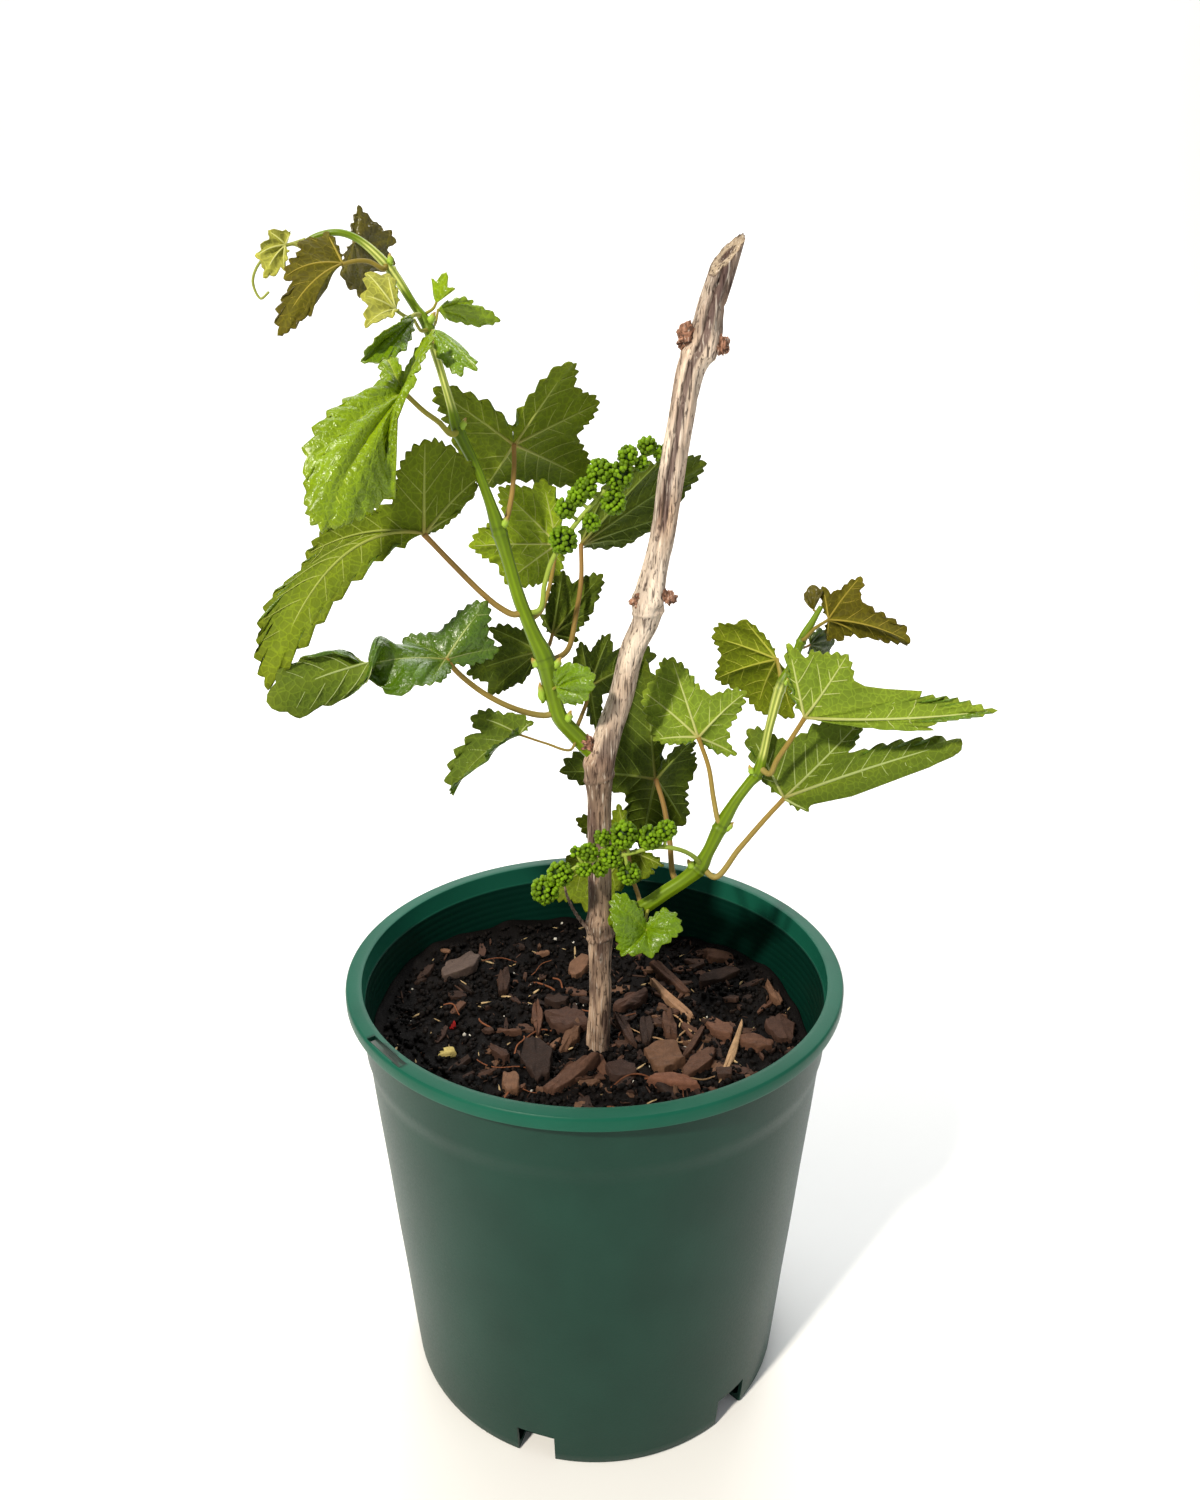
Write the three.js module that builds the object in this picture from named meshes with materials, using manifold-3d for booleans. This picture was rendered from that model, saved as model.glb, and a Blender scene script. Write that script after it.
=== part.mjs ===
// A grapevine in flower, grown in a round nursery pot of 200 mm.
// Millimetres, +Z up. The origin is the middle of the pot's base, on the ground.
import * as THREE from 'three';
import { mergeVertices } from 'three/addons/utils/BufferGeometryUtils.js';
import Module from 'manifold-3d';

const wasm = await Module();
wasm.setup();

// Clearance between neighbouring pieces, thickness of every leaf blade, and the largest sliver
// that is smoothed away where two shapes meet.
const GAP = 0.3;
const BLADE = 0.7;
const WELD = 0.03;

// The pot's wall leans outward from the base to a rolled rim.
const POT_HEIGHT = 180;
const POT_BASE_RADIUS = 80.4;
const POT_TOP_RADIUS = 94.8;
const POT_WALL = 1.6;
const POT_FLOOR = 2;
const POT_SIDES = 36;
const RIM_RADIUS = 100;
const RIM_HEIGHT = 5.5;
const RIM_THICKNESS = 1.6;
const COLLAR_FROM = 150;
const COLLAR_RISE = 0.7;
const STEP_BELOW_RIM = 8;

// Six drain notches cut the corner between wall and floor.
const DRAIN_COUNT = 6;
const DRAIN_TURN = 43;
const DRAIN_WIDTH = 15.5;
const DRAIN_HEIGHT = 14;
const DRAIN_REACH = 9;

// The slot for a plant tag goes through the top of the rim.
const TAG_SLOT = { turn: -50, length: 22, width: 3, radius: 97 };

// Height of the potting mix along the wall, every 30 degrees from the front, and in the middle.
const MIX_EDGE = [141, 140, 140, 142, 149.5, 147, 150, 154, 158, 154.5, 149, 144];
const MIX_MIDDLE = 138;
const MIX_CHAMFER = 10;
const MIX_RINGS = [0.25, 0.5, 0.72, 0.89, 1];

// Stems are lists of stations: x, y, z and radius. A swollen station is a node of the vine.
const CANE_SIDES = 8;
const CANE_CUT = { height: 447, lean: 24 };
const CANE = [
  [0, 0, 72, 4.2],
  [0, 0, 105, 4.8],
  [1, 0, 138, 4.9],
  [2, 0, 161, 4.7],
  [2, 0, 180, 4.7],
  [2, 0, 196, 5.5],
  [2, 0, 206, 4.8],
  [2, 0, 234, 4.6],
  [2, 0, 252, 4.7],
  [2, 0, 265, 5.7],
  [5, 0, 277, 5],
  [10, 0, 293, 4.6],
  [14, 0, 311, 4.6],
  [19, 0, 322, 5],
  [20, 0, 329, 5.6],
  [22, 0, 340, 4.7],
  [25, 0, 355, 4.4],
  [27, 0, 372, 4.4],
  [30, 0, 392, 4.4],
  [33, 0, 409, 4.7],
  [37, 0, 418, 5.4],
  [39, 0, 428, 4.6],
  [42, 0, 438, 4.4],
  [47, 0, 456, 4.4],
];

const SHOOT_SIDES = 6;
const SHOOT_LEFT = [
  [3, 0, 268, 3.4],
  [-1, 0, 271, 3.3],
  [-7, -2, 278, 3.1],
  [-13, -4, 286, 3],
  [-15, -4, 293, 3],
  [-18, -4, 308, 3.6],
  [-22, -3, 317, 2.7],
  [-27, -2, 330, 2.4],
  [-31, 0, 344, 2.3],
  [-34, 0, 355, 2.7],
  [-37, 0, 365, 1.9],
  [-41, 0, 376, 1.7],
  [-47, 0, 389, 2.1],
  [-49, 0, 397, 1.5],
  [-53, 0, 412, 1.4],
  [-56, 0, 423, 1.9],
  [-60, 1, 429, 1.4],
  [-68, 1, 441, 1.6],
  [-77, 0, 449, 1.2],
  [-83, -1, 451, 1.1],
  [-90, -1, 450, 1],
  [-96, -1, 447, 0.9],
];
const SHOOT_RIGHT = [
  [2, 0, 196, 3.4],
  [6, -1, 199, 3.3],
  [12, -4, 203, 3.2],
  [20, -6, 208, 3],
  [28, -6, 214, 2.9],
  [36, -6, 220, 2.9],
  [41, -6, 225, 3.3],
  [44, -6, 231, 2.5],
  [49, -5, 242, 2.8],
  [54, -5, 252, 2.1],
  [59, -4, 259, 2],
  [62, -4, 263, 2.3],
  [64, -4, 271, 1.7],
  [66, -3, 282, 1.6],
  [70, -1, 298, 2],
  [73, 0, 304, 1.4],
  [77, 0, 315, 1.7],
  [80, 0, 321, 1.3],
  [83, 0, 327, 0.9],
];

// Small growths on a stem: a squat bud with its middle, radii and tilt about Y.
const CANE_BUDS = [
  { at: [25.5, -1, 330], size: [2.4, 2.2, 3], tilt: -25 },
  { at: [15.5, -1, 328], size: [2.2, 2.2, 2.8], tilt: 25 },
  { at: [42, -1, 419.5], size: [2.2, 2.2, 3], tilt: -25 },
  { at: [32.5, -1, 415.5], size: [2.2, 2.2, 2.6], tilt: 25 },
  { at: [-2.5, -2, 275], size: [3, 3, 2.6], tilt: 30 },
];
const LEFT_BUDS = [
  { at: [-9.5, -5.5, 286.5], size: [1.5, 1.5, 2.6], tilt: 20 },
  { at: [-13.5, -5.5, 307], size: [1.6, 1.5, 2.6], tilt: 30 },
  { at: [-21.5, -4.5, 307], size: [1.7, 1.5, 2.2], tilt: -40 },
  { at: [-31.5, -1, 357.5], size: [1.3, 1.3, 2.4], tilt: 25 },
  { at: [-45, -1, 391], size: [1.2, 1.2, 2.3], tilt: 25 },
  { at: [-54, -1, 425], size: [1.3, 1.3, 2.2], tilt: 30 },
  { at: [-67, 0, 443], size: [1.1, 1.1, 2], tilt: 0 },
];
const RIGHT_BUDS = [
  { at: [37.5, -7, 226.5], size: [1.5, 1.5, 2.4], tilt: -30 },
  { at: [52, -6, 242], size: [1.3, 1.3, 2.4], tilt: 40 },
  { at: [59.5, -5, 265], size: [1.2, 1.2, 2.2], tilt: -20 },
  { at: [71.5, -2, 299], size: [1.1, 1.1, 2], tilt: 30 },
];
const TENDRIL = [
  [-94, -1, 449, 0.55],
  [-103, -2, 446, 0.5],
  [-109, -3, 442, 0.45],
  [-112, -3, 436, 0.45],
  [-110, -3, 431, 0.4],
  [-107, -3, 433, 0.4],
];

// Flower clusters: the stalk's stations and the round heads of buds along it.
const UPPER_STALK = [
  [-27, -2, 325, 1.2],
  [-20, -1, 326, 1],
  [-18, 0, 335, 0.9],
  [-15, 1, 344, 0.9],
  [-7, 2, 356, 0.9],
  [2, 4, 366, 0.8],
  [10, 6, 374, 0.8],
  [17, 9, 379, 0.7],
  [23, 12, 381, 0.6],
];
const UPPER_HEADS = [
  [-11, 1, 351, 4.7],
  [-1, 2, 357, 3.2],
  [-10, 2, 362, 3.6],
  [-6, 3, 366, 3.4],
  [-3, 2, 369, 3.8],
  [7, 4, 364, 4.3],
  [2, 3, 375, 4.2],
  [9, 4, 373, 4.6],
  [12, 6, 380, 3.5],
  [17, 9, 377, 2.8],
  [19, 10, 383, 3.3],
  [25, 12, 380, 3.3],
];
const LOWER_STALK = [
  [41, -6, 225, 1.2],
  [40, -9, 229, 1],
  [36, -13, 234, 0.9],
  [30, -17, 238, 0.9],
  [23, -18, 239, 0.9],
  [12, -18, 236, 0.8],
  [-2, -18, 233, 0.8],
  [-13, -18, 227, 0.7],
  [-20, -18, 222, 0.6],
];
const LOWER_HEADS = [
  [-19, -18, 221, 5],
  [-13, -18, 228, 4.6],
  [-7, -18, 237, 2.3],
  [-2, -18, 237, 3.4],
  [3, -18, 243, 3],
  [-4, -18, 230, 3],
  [2, -18, 230, 3],
  [6, -18, 235, 4.2],
  [11, -18, 244, 4.9],
  [13, -18, 228, 4.2],
  [21, -18, 243, 4.5],
  [27, -18, 246, 3.7],
];
const HEAD_LARGE = 4.15;
const HEAD_VALLEY = 0.7;

// Each leaf has five main veins that run from its junction with the petiole. The tips are given
// from the junction, in turn from one basal lobe round to the other. `slim` is each lobe's width
// to its length, `heart` the undivided middle, `arch` how far a vein stands off its straight line,
// and `bends` and `rolls` are the same for one vein: its own arch, and the turn of the blade about
// it in degrees, with the start and end along the vein.
const LEAVES = [
  {
    name: 'leaf_low_hanging',
    at: [-27, -16, 283],
    tips: [[4, 2, 4], [-17, 2, 6], [-24, -10, -19], [-11, -16, -9], [-3, -12, -2]],
    slim: [0.6, 0.4, 0.42, 0.5, 0.6],
    heart: 0.45,
    arch: [-2, 0, 3],
    tooth: 2.4,
    quilt: 0.6,
    teeth: 2,
    petiole: { radius: 0.5, path: [[-18, -11, 278], [-9, -7, 274]] },
  },
  {
    name: 'leaf_low_twisted',
    at: [-52, -22, 313],
    tips: [[-3, -18, -4], [-54, -30, -6], [-15, 8, 5], [14, 10, 18], [17, 10, 1]],
    slim: [0.6, 0.46, 0.45, 0.5, 0.6],
    heart: 0.45,
    arch: [0, 0, 2],
    bends: { 1: [0, 0, 5] },
    rolls: { 1: [-170, 0.2, 0.72] },
    marks: 6,
    tooth: 2.6,
    teeth: 5,
    petiole: { radius: 1.1, path: [[-47, -19, 306], [-38, -14, 297], [-27, -9, 290], [-18, -5, 287]] },
  },
  {
    name: 'leaf_long_drooping',
    at: [-58, -18, 356],
    tips: [[2, 2, 29], [-31, 10, 8], [-52, -30, -45], [-17, 42, -10], [18, 17, 8]],
    slim: [0.65, 0.45, 0.34, 0.5, 0.6],
    heart: 0.65,
    arch: [0, 0, 3],
    bends: { 1: [0, 0, 3], 2: [-3, 0, 16] },
    rolls: { 2: [30, 0.1, 0.7] },
    marks: 5,
    swing: 50,
    tooth: 2.8,
    teeth: 3,
    petiole: { radius: 1.1, path: [[-50, -14, 346], [-40, -9, 334], [-34, -6, 328], [-29, -4, 325]] },
    quilt: 0.6,
  },
  {
    name: 'leaf_glossy',
    at: [-61, -24, 402],
    tips: [[10, 2, 18], [-3, -22, -26], [-21, -36, -39], [-25, -28, -21], [-7, 10, 13]],
    slim: [0.4, 0.4, 0.5, 0.36, 0.4],
    heart: 0.2,
    arch: [-1, -6, 2],
    bends: { 1: [-3, -5, 1] },
    quilt: 1.2,
    tooth: 2.2,
    teeth: 3,
    petiole: { radius: 0.95, path: [[-56, -17, 396], [-52, -10, 392], [-49, -5, 388]] },
  },
  {
    name: 'leaf_upper_back',
    at: [-29, 18, 383],
    tips: [[-26, -10, 19], [-24, 16, -10], [25, 30, -15], [29, 12, 13], [17, -4, 28]],
    slim: [0.5, 0.5, 0.5, 0.42, 0.42],
    heart: 0.7,
    arch: [0, 4, 0],
    swing: 70,
    tooth: 2.4,
    teeth: 3,
    petiole: { radius: 0.95, path: [[-29, 14, 374], [-30, 9, 364], [-32, 4, 357]] },
  },
  {
    name: 'leaf_behind_flowers',
    at: [-14, 24, 346],
    tips: [[-5, -2, 24], [-21, 4, 20], [-34, 14, -3], [-21, 18, -18], [-2, 8, -15]],
    slim: [0.5, 0.5, 0.5, 0.5, 0.5],
    heart: 0.6,
    arch: [0, 3, 0],
    tooth: 2.2,
    teeth: 2,
    petiole: { radius: 0.8, path: [[-16, 18, 335], [-18, 8, 328], [-20, 4, 324]] },
  },
  {
    name: 'leaf_behind_cane',
    at: [-5, 30, 345],
    tips: [[17, 16, -1], [36, 22, 8], [48, 16, 29], [27, 2, 28], [8, 4, 17]],
    slim: [0.28, 0.28, 0.28, 0.28, 0.28],
    heart: 0.5,
    arch: [0, 4, 0],
    tooth: 2.2,
    teeth: 2,
    petiole: { radius: 1, path: [[-5, 25, 332], [-7, 16, 320], [-10, 7, 309]] },
  },
  {
    name: 'leaf_dark_inner',
    at: [-16, 14, 313],
    tips: [[9, 4, -3], [13, 10, 6], [19, 16, 20], [4, 12, 22], [-4, 6, 6]],
    slim: [0.36, 0.36, 0.36, 0.36, 0.36],
    heart: 0.6,
    arch: [0, 3, 0],
    tooth: 2,
    teeth: 2,
    petiole: { radius: 0.8, path: [[-17, 6, 311]] },
  },
  {
    name: 'leaf_dark_left',
    at: [-21, 12, 307],
    tips: [[-2, 6, 8], [-19, 9, 7], [-28, 5, -10], [-19, 4, -17], [-6, -2, -10]],
    slim: [0.36, 0.36, 0.36, 0.36, 0.36],
    heart: 0.6,
    arch: [0, 3, 0],
    tooth: 2.2,
    swing: 60,
    quilt: 0.3,
    teeth: 2,
    petiole: { radius: 0.7, path: [[-18, 5, 307]] },
  },
  {
    name: 'leaf_dark_centre',
    at: [-2, 16, 292],
    tips: [[3, 10, -21], [27, 28, 5], [8, 14, 17], [-3, 4, 16], [-8, -2, 5]],
    slim: [0.38, 0.38, 0.38, 0.38, 0.38],
    heart: 0.55,
    arch: [0, 3, 0],
    tooth: 2.4,
    teeth: 2,
    petiole: { radius: 0.8, path: [[-3, 12, 287], [-5, 6, 283]] },
  },
  {
    name: 'leaf_bright_bud',
    at: [-14, -9, 299],
    tips: [[1, -1, 6], [7, -5, 9], [14, -9, 7], [11, -7, -2], [3, -2, -5]],
    slim: [0.6, 0.6, 0.6, 0.6, 0.6],
    heart: 0.7,
    arch: [0, -1, 1],
    tooth: 1.2,
    teeth: 1,
    petiole: { radius: 0.6, path: [[-16, -5, 297]] },
  },
  {
    name: 'leaf_silvery',
    at: [-64, -12, 427],
    tips: [[-3, 6, 11], [-9, 2, 11], [-9, -4, 4], [-8, -10, -5], [0, -8, -2]],
    slim: [0.5, 0.5, 0.5, 0.5, 0.5],
    heart: 0.75,
    arch: [0, -2, 1],
    tooth: 1.8,
    quilt: 0.6,
    teeth: 2,
    petiole: { radius: 0.7, path: [[-61, -8, 425], [-59, -4, 426]] },
  },
  {
    name: 'leaf_small_drooping',
    at: [-58, -14, 424],
    tips: [[-1, -11, -7], [-7, -18, -10], [-13, -22, -12], [-8, -18, -5], [-1, -14, 0]],
    slim: [0.35, 0.35, 0.35, 0.35, 0.35],
    heart: 0.5,
    arch: [0, 0, 1],
    tooth: 1.6,
    swing: 20,
    quilt: 0.6,
    teeth: 1,
    petiole: { radius: 0.6, path: [[-57, -7, 421]] },
  },
  {
    name: 'leaf_lateral_curl',
    at: [-53, 4, 430],
    tips: [[-1, 2, 3], [-1, 0, 7], [4, -2, 9], [7, -4, 4], [3, -2, 2]],
    slim: [0.4, 0.4, 0.4, 0.4, 0.4],
    heart: 0.8,
    arch: [0, 0, 0],
    tooth: 1,
    swing: 5,
    quilt: 0.3,
    teeth: 1,
    petiole: { radius: 0.5, path: [[-54, 2, 428]] },
  },
  {
    name: 'leaf_lateral_long',
    at: [-53, 8, 428],
    tips: [[3, 2, 3], [11, 7, 3], [20, 11, -3], [11, 8, -4], [2, 2, -3]],
    slim: [0.25, 0.25, 0.25, 0.25, 0.25],
    heart: 0.3,
    arch: [0, 0, 1],
    tooth: 1.2,
    swing: 40,
    quilt: 0.6,
    teeth: 1,
    petiole: { radius: 0.5, path: [[-54, 4, 423]] },
  },
  {
    name: 'leaf_lateral_low',
    at: [-53, -8, 421],
    tips: [[4, 0, -1], [9, -4, -5], [15, -10, -12], [10, -12, -14], [2, -6, -7]],
    slim: [0.25, 0.25, 0.25, 0.25, 0.25],
    heart: 0.4,
    arch: [0, 0, 1],
    tooth: 1.2,
    swing: 20,
    quilt: 0.6,
    teeth: 1,
    petiole: { radius: 0.6, path: [[-53, -5, 418]] },
  },
  {
    name: 'leaf_tip_hanging',
    at: [-81, -8, 441],
    tips: [[-6, 6, 10], [-16, -9, -4], [-17, -21, -22], [-6, -14, -16], [-2, -3, -9]],
    slim: [0.4, 0.4, 0.3, 0.3, 0.4],
    heart: 0.6,
    arch: [-1, -1, 3],
    swing: 50,
    tooth: 1.8,
    quilt: 0,
    teeth: 2,
    petiole: { radius: 0.75, path: [[-77, -7, 442], [-73, -5, 442], [-69, -3, 440]] },
  },
  {
    name: 'leaf_tip_end',
    at: [-100, -3, 447],
    tips: [[2, 1, 4], [-5, -1, 4], [-9, -5, -4], [-7, -7, -12], [0, -5, -8]],
    slim: [0.5, 0.5, 0.5, 0.5, 0.5],
    heart: 0.75,
    arch: [0, -2, 1],
    tooth: 1.6,
    swing: 25,
    teeth: 1,
    petiole: { radius: 0.6, path: [[-98, -2, 447.5]] },
  },
  {
    name: 'leaf_tip_back',
    at: [-80, 7, 449],
    tips: [[2, 3, 11], [13, 9, 1], [11, 11, -6], [-1, 9, -17], [-6, 5, -10]],
    slim: [0.45, 0.45, 0.45, 0.45, 0.45],
    heart: 0.5,
    arch: [0, 2, 0],
    tooth: 1.8,
    teeth: 2,
    petiole: { radius: 0.6, path: [[-79, 4, 449]] },
  },
  {
    name: 'leaf_pot_front',
    at: [20, -15, 202],
    tips: [[7, 3, 8], [14, -3, 2], [2, -9, -7], [-10, -9, -6], [-12, 1, 14]],
    slim: [0.6, 0.6, 0.6, 0.6, 0.6],
    heart: 0.8,
    arch: [0, -3, 1],
    tooth: 1.8,
    teeth: 2,
    petiole: { radius: 0.7, path: [[20, -12, 205], [21, -8, 208]] },
  },
  {
    name: 'leaf_pot_back',
    at: [14, 20, 220],
    tips: [[-4, 8, 17], [-21, 10, 10], [-35, 10, -25], [-17, 0, -27], [14, -6, -4]],
    slim: [0.4, 0.4, 0.4, 0.4, 0.4],
    heart: 0.55,
    arch: [0, 3, 0],
    tooth: 2.2,
    teeth: 2,
    petiole: { radius: 0.9, path: [[15, 10, 214], [18, 0, 207]] },
  },
  {
    name: 'leaf_dark_cane',
    at: [25, 22, 251],
    tips: [[-15, 18, 31], [-38, 22, -5], [-4, 24, -42], [13, 14, -25], [15, 0, 17]],
    slim: [0.42, 0.42, 0.42, 0.42, 0.42],
    heart: 0.5,
    arch: [0, 3, 0],
    tooth: 2.6,
    teeth: 3,
    petiole: { radius: 1.1, path: [[28, 16, 242], [30, 6, 231], [31, -2, 220]] },
  },
  {
    name: 'leaf_pale_centre',
    at: [40, 4, 275],
    tips: [[15, 0, -7], [17, 2, 17], [-10, 16, 28], [-19, 18, 12], [-19, 8, -4]],
    slim: [0.42, 0.45, 0.45, 0.42, 0.5],
    heart: 0.66,
    arch: [0, 3, 0],
    tooth: 2.6,
    teeth: 3,
    petiole: { radius: 1, path: [[44, 1, 264], [46, -3, 252], [48, -6, 244]] },
  },
  {
    name: 'leaf_right_long',
    at: [73, -4, 253],
    tips: [[7, -6, -2], [17, -16, 11], [52, -42, 38], [27, -4, 34], [-13, 8, 24]],
    slim: [0.5, 0.4, 0.2, 0.42, 0.5],
    heart: 0.45,
    arch: [0, -2, 0],
    bends: { 2: [0, -2, 2] },
    swing: 45,
    tooth: 2.8,
    teeth: 3,
    petiole: { radius: 1.1, path: [[66, -5, 245], [56, -7, 233], [47, -9, 222]] },
    quilt: 0,
  },
  {
    name: 'leaf_right_top',
    at: [76, -18, 290],
    tips: [[8, -16, 6], [27, -28, 8], [51, -48, 18], [13, -6, 26], [-6, 6, 25]],
    slim: [0.4, 0.35, 0.16, 0.5, 0.5],
    heart: 0.66,
    arch: [0, -2, -1],
    rolls: { 2: [-60, 0.55, 0.8] },
    marks: 5,
    swing: 35,
    tooth: 2.6,
    teeth: 3,
    petiole: { radius: 1, path: [[72, -14, 280], [68, -11, 271], [66, -9, 265]] },
  },
  {
    name: 'leaf_yellow_back',
    at: [70, 12, 304],
    tips: [[-14, 2, 16], [-25, 8, 7], [-22, 14, -12], [-4, 14, -22], [9, 6, -26]],
    slim: [0.5, 0.5, 0.5, 0.5, 0.5],
    heart: 0.85,
    arch: [0, 3, 0],
    swing: 40,
    tooth: 2.2,
    teeth: 2,
    petiole: { radius: 0.8, path: [[70, 5, 301], [70, 0, 299]] },
  },
  {
    name: 'leaf_bronze_tip',
    at: [86, 0, 322],
    tips: [[1, 4, -10], [7, -6, -3], [24, -20, -3], [10, -2, 16], [-2, 4, 11]],
    slim: [0.4, 0.3, 0.3, 0.35, 0.4],
    heart: 0.62,
    arch: [0, -1, 2],
    swing: 45,
    tooth: 1.8,
    teeth: 2,
    petiole: { radius: 0.7, path: [[81, -1, 319], [77, -2, 315]] },
  },
  {
    name: 'leaf_bronze_bud',
    at: [81, 3, 325],
    tips: [[-2, 1, 2], [-3, 1, 5], [-1, 0, 9], [2, -1, 7], [1, -1, 3]],
    slim: [0.6, 0.6, 0.6, 0.6, 0.6],
    heart: 0.8,
    arch: [0, 0, 0],
    tooth: 0.8,
    swing: 30,
    teeth: 1,
    petiole: { radius: 0.5, path: [[82, 1, 324]] },
  },
  {
    name: 'leaf_dark_right',
    at: [81, 6, 311],
    tips: [[1, 2, 4], [6, 4, 4], [10, 6, 0], [8, 6, -5], [2, 3, -5]],
    slim: [0.6, 0.6, 0.6, 0.6, 0.6],
    heart: 0.8,
    arch: [0, 1, 0],
    tooth: 1.2,
    teeth: 1,
    petiole: { radius: 0.5, path: [[78, 2, 311]] },
  },
];

// Bark chips on the potting mix: place, length, width, thickness, turn in plan and tilt.
const CHIPS = [
  { at: [-60, 40], size: [24, 13, 5], turn: 48, tilt: 4 },
  { at: [-41, 35], size: [16, 6, 5], turn: 90, tilt: 10 },
  { at: [-25, 14], size: [23, 4.5, 4], turn: 95, tilt: 8 },
  { at: [-13, 15], size: [19, 17, 6], turn: 8, tilt: -4 },
  { at: [-10, 5], size: [22, 6, 5], turn: 68, tilt: 14 },
  { at: [-24, -14], size: [27, 13, 7], turn: 100, tilt: 3 },
  { at: [-10, -24], size: [29, 8, 6], turn: 48, tilt: 5 },
  { at: [-60, -15], size: [8, 5, 3], turn: 10, tilt: 6 },
  { at: [-39, 3], size: [18, 3, 3], turn: -3, tilt: 3 },
  { at: [10, -19], size: [14, 10, 5], turn: 10, tilt: -6 },
  { at: [29, -11], size: [19, 19, 7], turn: 4, tilt: 4 },
  { at: [31, -27], size: [21, 6, 5], turn: -18, tilt: 3 },
  { at: [43, -14], size: [22, 9, 5], turn: 48, tilt: 5 },
  { at: [57, -9], size: [36, 3.5, 3.5], turn: 70, tilt: 7 },
  { at: [68, -4], size: [14, 9, 5], turn: 0, tilt: -6 },
  { at: [79, 4], size: [17, 13, 5], turn: 100, tilt: 5 },
  { at: [79, 25], size: [17, 4, 4], turn: 110, tilt: 6 },
  { at: [56, 41], size: [24, 8, 5], turn: 25, tilt: 4 },
  { at: [35, 43], size: [30, 6, 5], turn: -60, tilt: -3 },
  { at: [35, 27], size: [40, 4, 4], turn: -60, tilt: -3 },
  { at: [58, 57], size: [15, 8, 5], turn: -20, tilt: -8 },
  { at: [16, 29], size: [19, 8, 6], turn: 35, tilt: 6 },
  { at: [-7, 52], size: [18, 8, 5], turn: 60, tilt: 8 },
  { at: [22, 8], size: [19, 7, 5], turn: 90, tilt: 3 },
  { at: [32, 9], size: [19, 7, 6], turn: 95, tilt: 6 },
  { at: [13, 9], size: [26, 5, 5], turn: -71, tilt: -8 },
  { at: [54, 7], size: [16, 9, 5], turn: -50, tilt: 4 },
];

const radians = THREE.MathUtils.degToRad;
const { clamp, lerp } = THREE.MathUtils;

function smooth(value) {
  return THREE.MathUtils.smoothstep(value, 0, 1);
}

// A closed geometry becomes a solid that can be joined and cut.
function solid(geometry, weld = 1e-4) {
  const bare = geometry.clone();
  bare.deleteAttribute('normal');
  bare.deleteAttribute('uv');
  const merged = mergeVertices(bare, weld);
  return new wasm.Manifold(new wasm.Mesh({
    numProp: 3,
    vertProperties: new Float32Array(merged.attributes.position.array),
    triVerts: new Uint32Array(merged.index.array),
  }));
}

// The largest body of a solid as a geometry, with its corners to the nearest micrometre. Loose
// scraps of a cut and sealed pores are dropped.
function skin(body) {
  const largest = body.decompose().reduce((a, b) => (b.volume() > a.volume() ? b : a));
  const mesh = largest.getMesh();
  const geometry = new THREE.BufferGeometry();
  const corners = mesh.vertProperties.map((value) => Math.round(value * 1e3) / 1e3);
  geometry.setAttribute('position', new THREE.BufferAttribute(corners, 3));
  geometry.setIndex(new THREE.BufferAttribute(mesh.triVerts, 1));
  return geometry;
}

// The surface of a finished piece. Slivers along its joins are smoothed out within WELD.
function surface(body) {
  const geometry = skin(solid(skin(body.simplify(WELD)), 2e-4));
  geometry.computeVertexNormals();
  return geometry;
}

function join(bodies) {
  return bodies.reduce((whole, body) => whole.add(body));
}

function cut(body, others) {
  return others.reduce((rest, other) => rest.subtract(other), body);
}

// A closed geometry from points and triangles.
function facets(points, triangles) {
  const geometry = new THREE.BufferGeometry();
  geometry.setAttribute('position', new THREE.Float32BufferAttribute(points.flatMap((p) => p.toArray()), 3));
  geometry.setIndex(triangles.flat());
  return geometry;
}

// A stem's middle line and radius at a share of its stations.
class Stem {
  constructor(stations) {
    this.radii = stations.map((station) => station[3]);
    this.curve = new THREE.CatmullRomCurve3(
      stations.map(([x, y, z]) => new THREE.Vector3(x, y, z)),
      false,
      'centripetal',
    );
  }

  radius(share) {
    const place = clamp(share, 0, 1) * (this.radii.length - 1);
    const first = Math.min(Math.floor(place), this.radii.length - 2);
    return lerp(this.radii[first], this.radii[first + 1], smooth(place - first));
  }

  nearest(point) {
    const places = this.curve.getPoints(240);
    return places.reduce((a, b) => (b.distanceTo(point) < a.distanceTo(point) ? b : a));
  }

  // A round bar bent along the middle line: a cylinder's rings are carried onto the curve.
  bar(sides, steps, extra = 0) {
    const bar = new THREE.CylinderGeometry(1, 1, 1, sides, steps);
    const place = bar.attributes.position;
    const tangents = [];
    for (let i = 0; i <= steps; i += 1) {
      tangents.push(this.curve.getTangent(i / steps));
    }
    const across = [new THREE.Vector3(0, 1, 0).cross(tangents[0]).normalize()];
    for (let i = 1; i <= steps; i += 1) {
      const turn = new THREE.Quaternion().setFromUnitVectors(tangents[i - 1], tangents[i]);
      across.push(across[i - 1].clone().applyQuaternion(turn));
    }
    for (let i = 0; i < place.count; i += 1) {
      const step = Math.round((place.getY(i) + 0.5) * steps);
      const share = step / steps;
      const other = across[step].clone().cross(tangents[step]);
      const radius = this.radius(share) + extra;
      const point = this.curve.getPoint(share)
        .addScaledVector(across[step], place.getX(i) * radius)
        .addScaledVector(other, place.getZ(i) * radius);
      if (step === 0) point.addScaledVector(tangents[0], -extra);
      if (step === steps) point.addScaledVector(tangents[steps], extra);
      place.setXYZ(i, point.x, point.y, point.z);
    }
    return solid(bar);
  }
}

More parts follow.
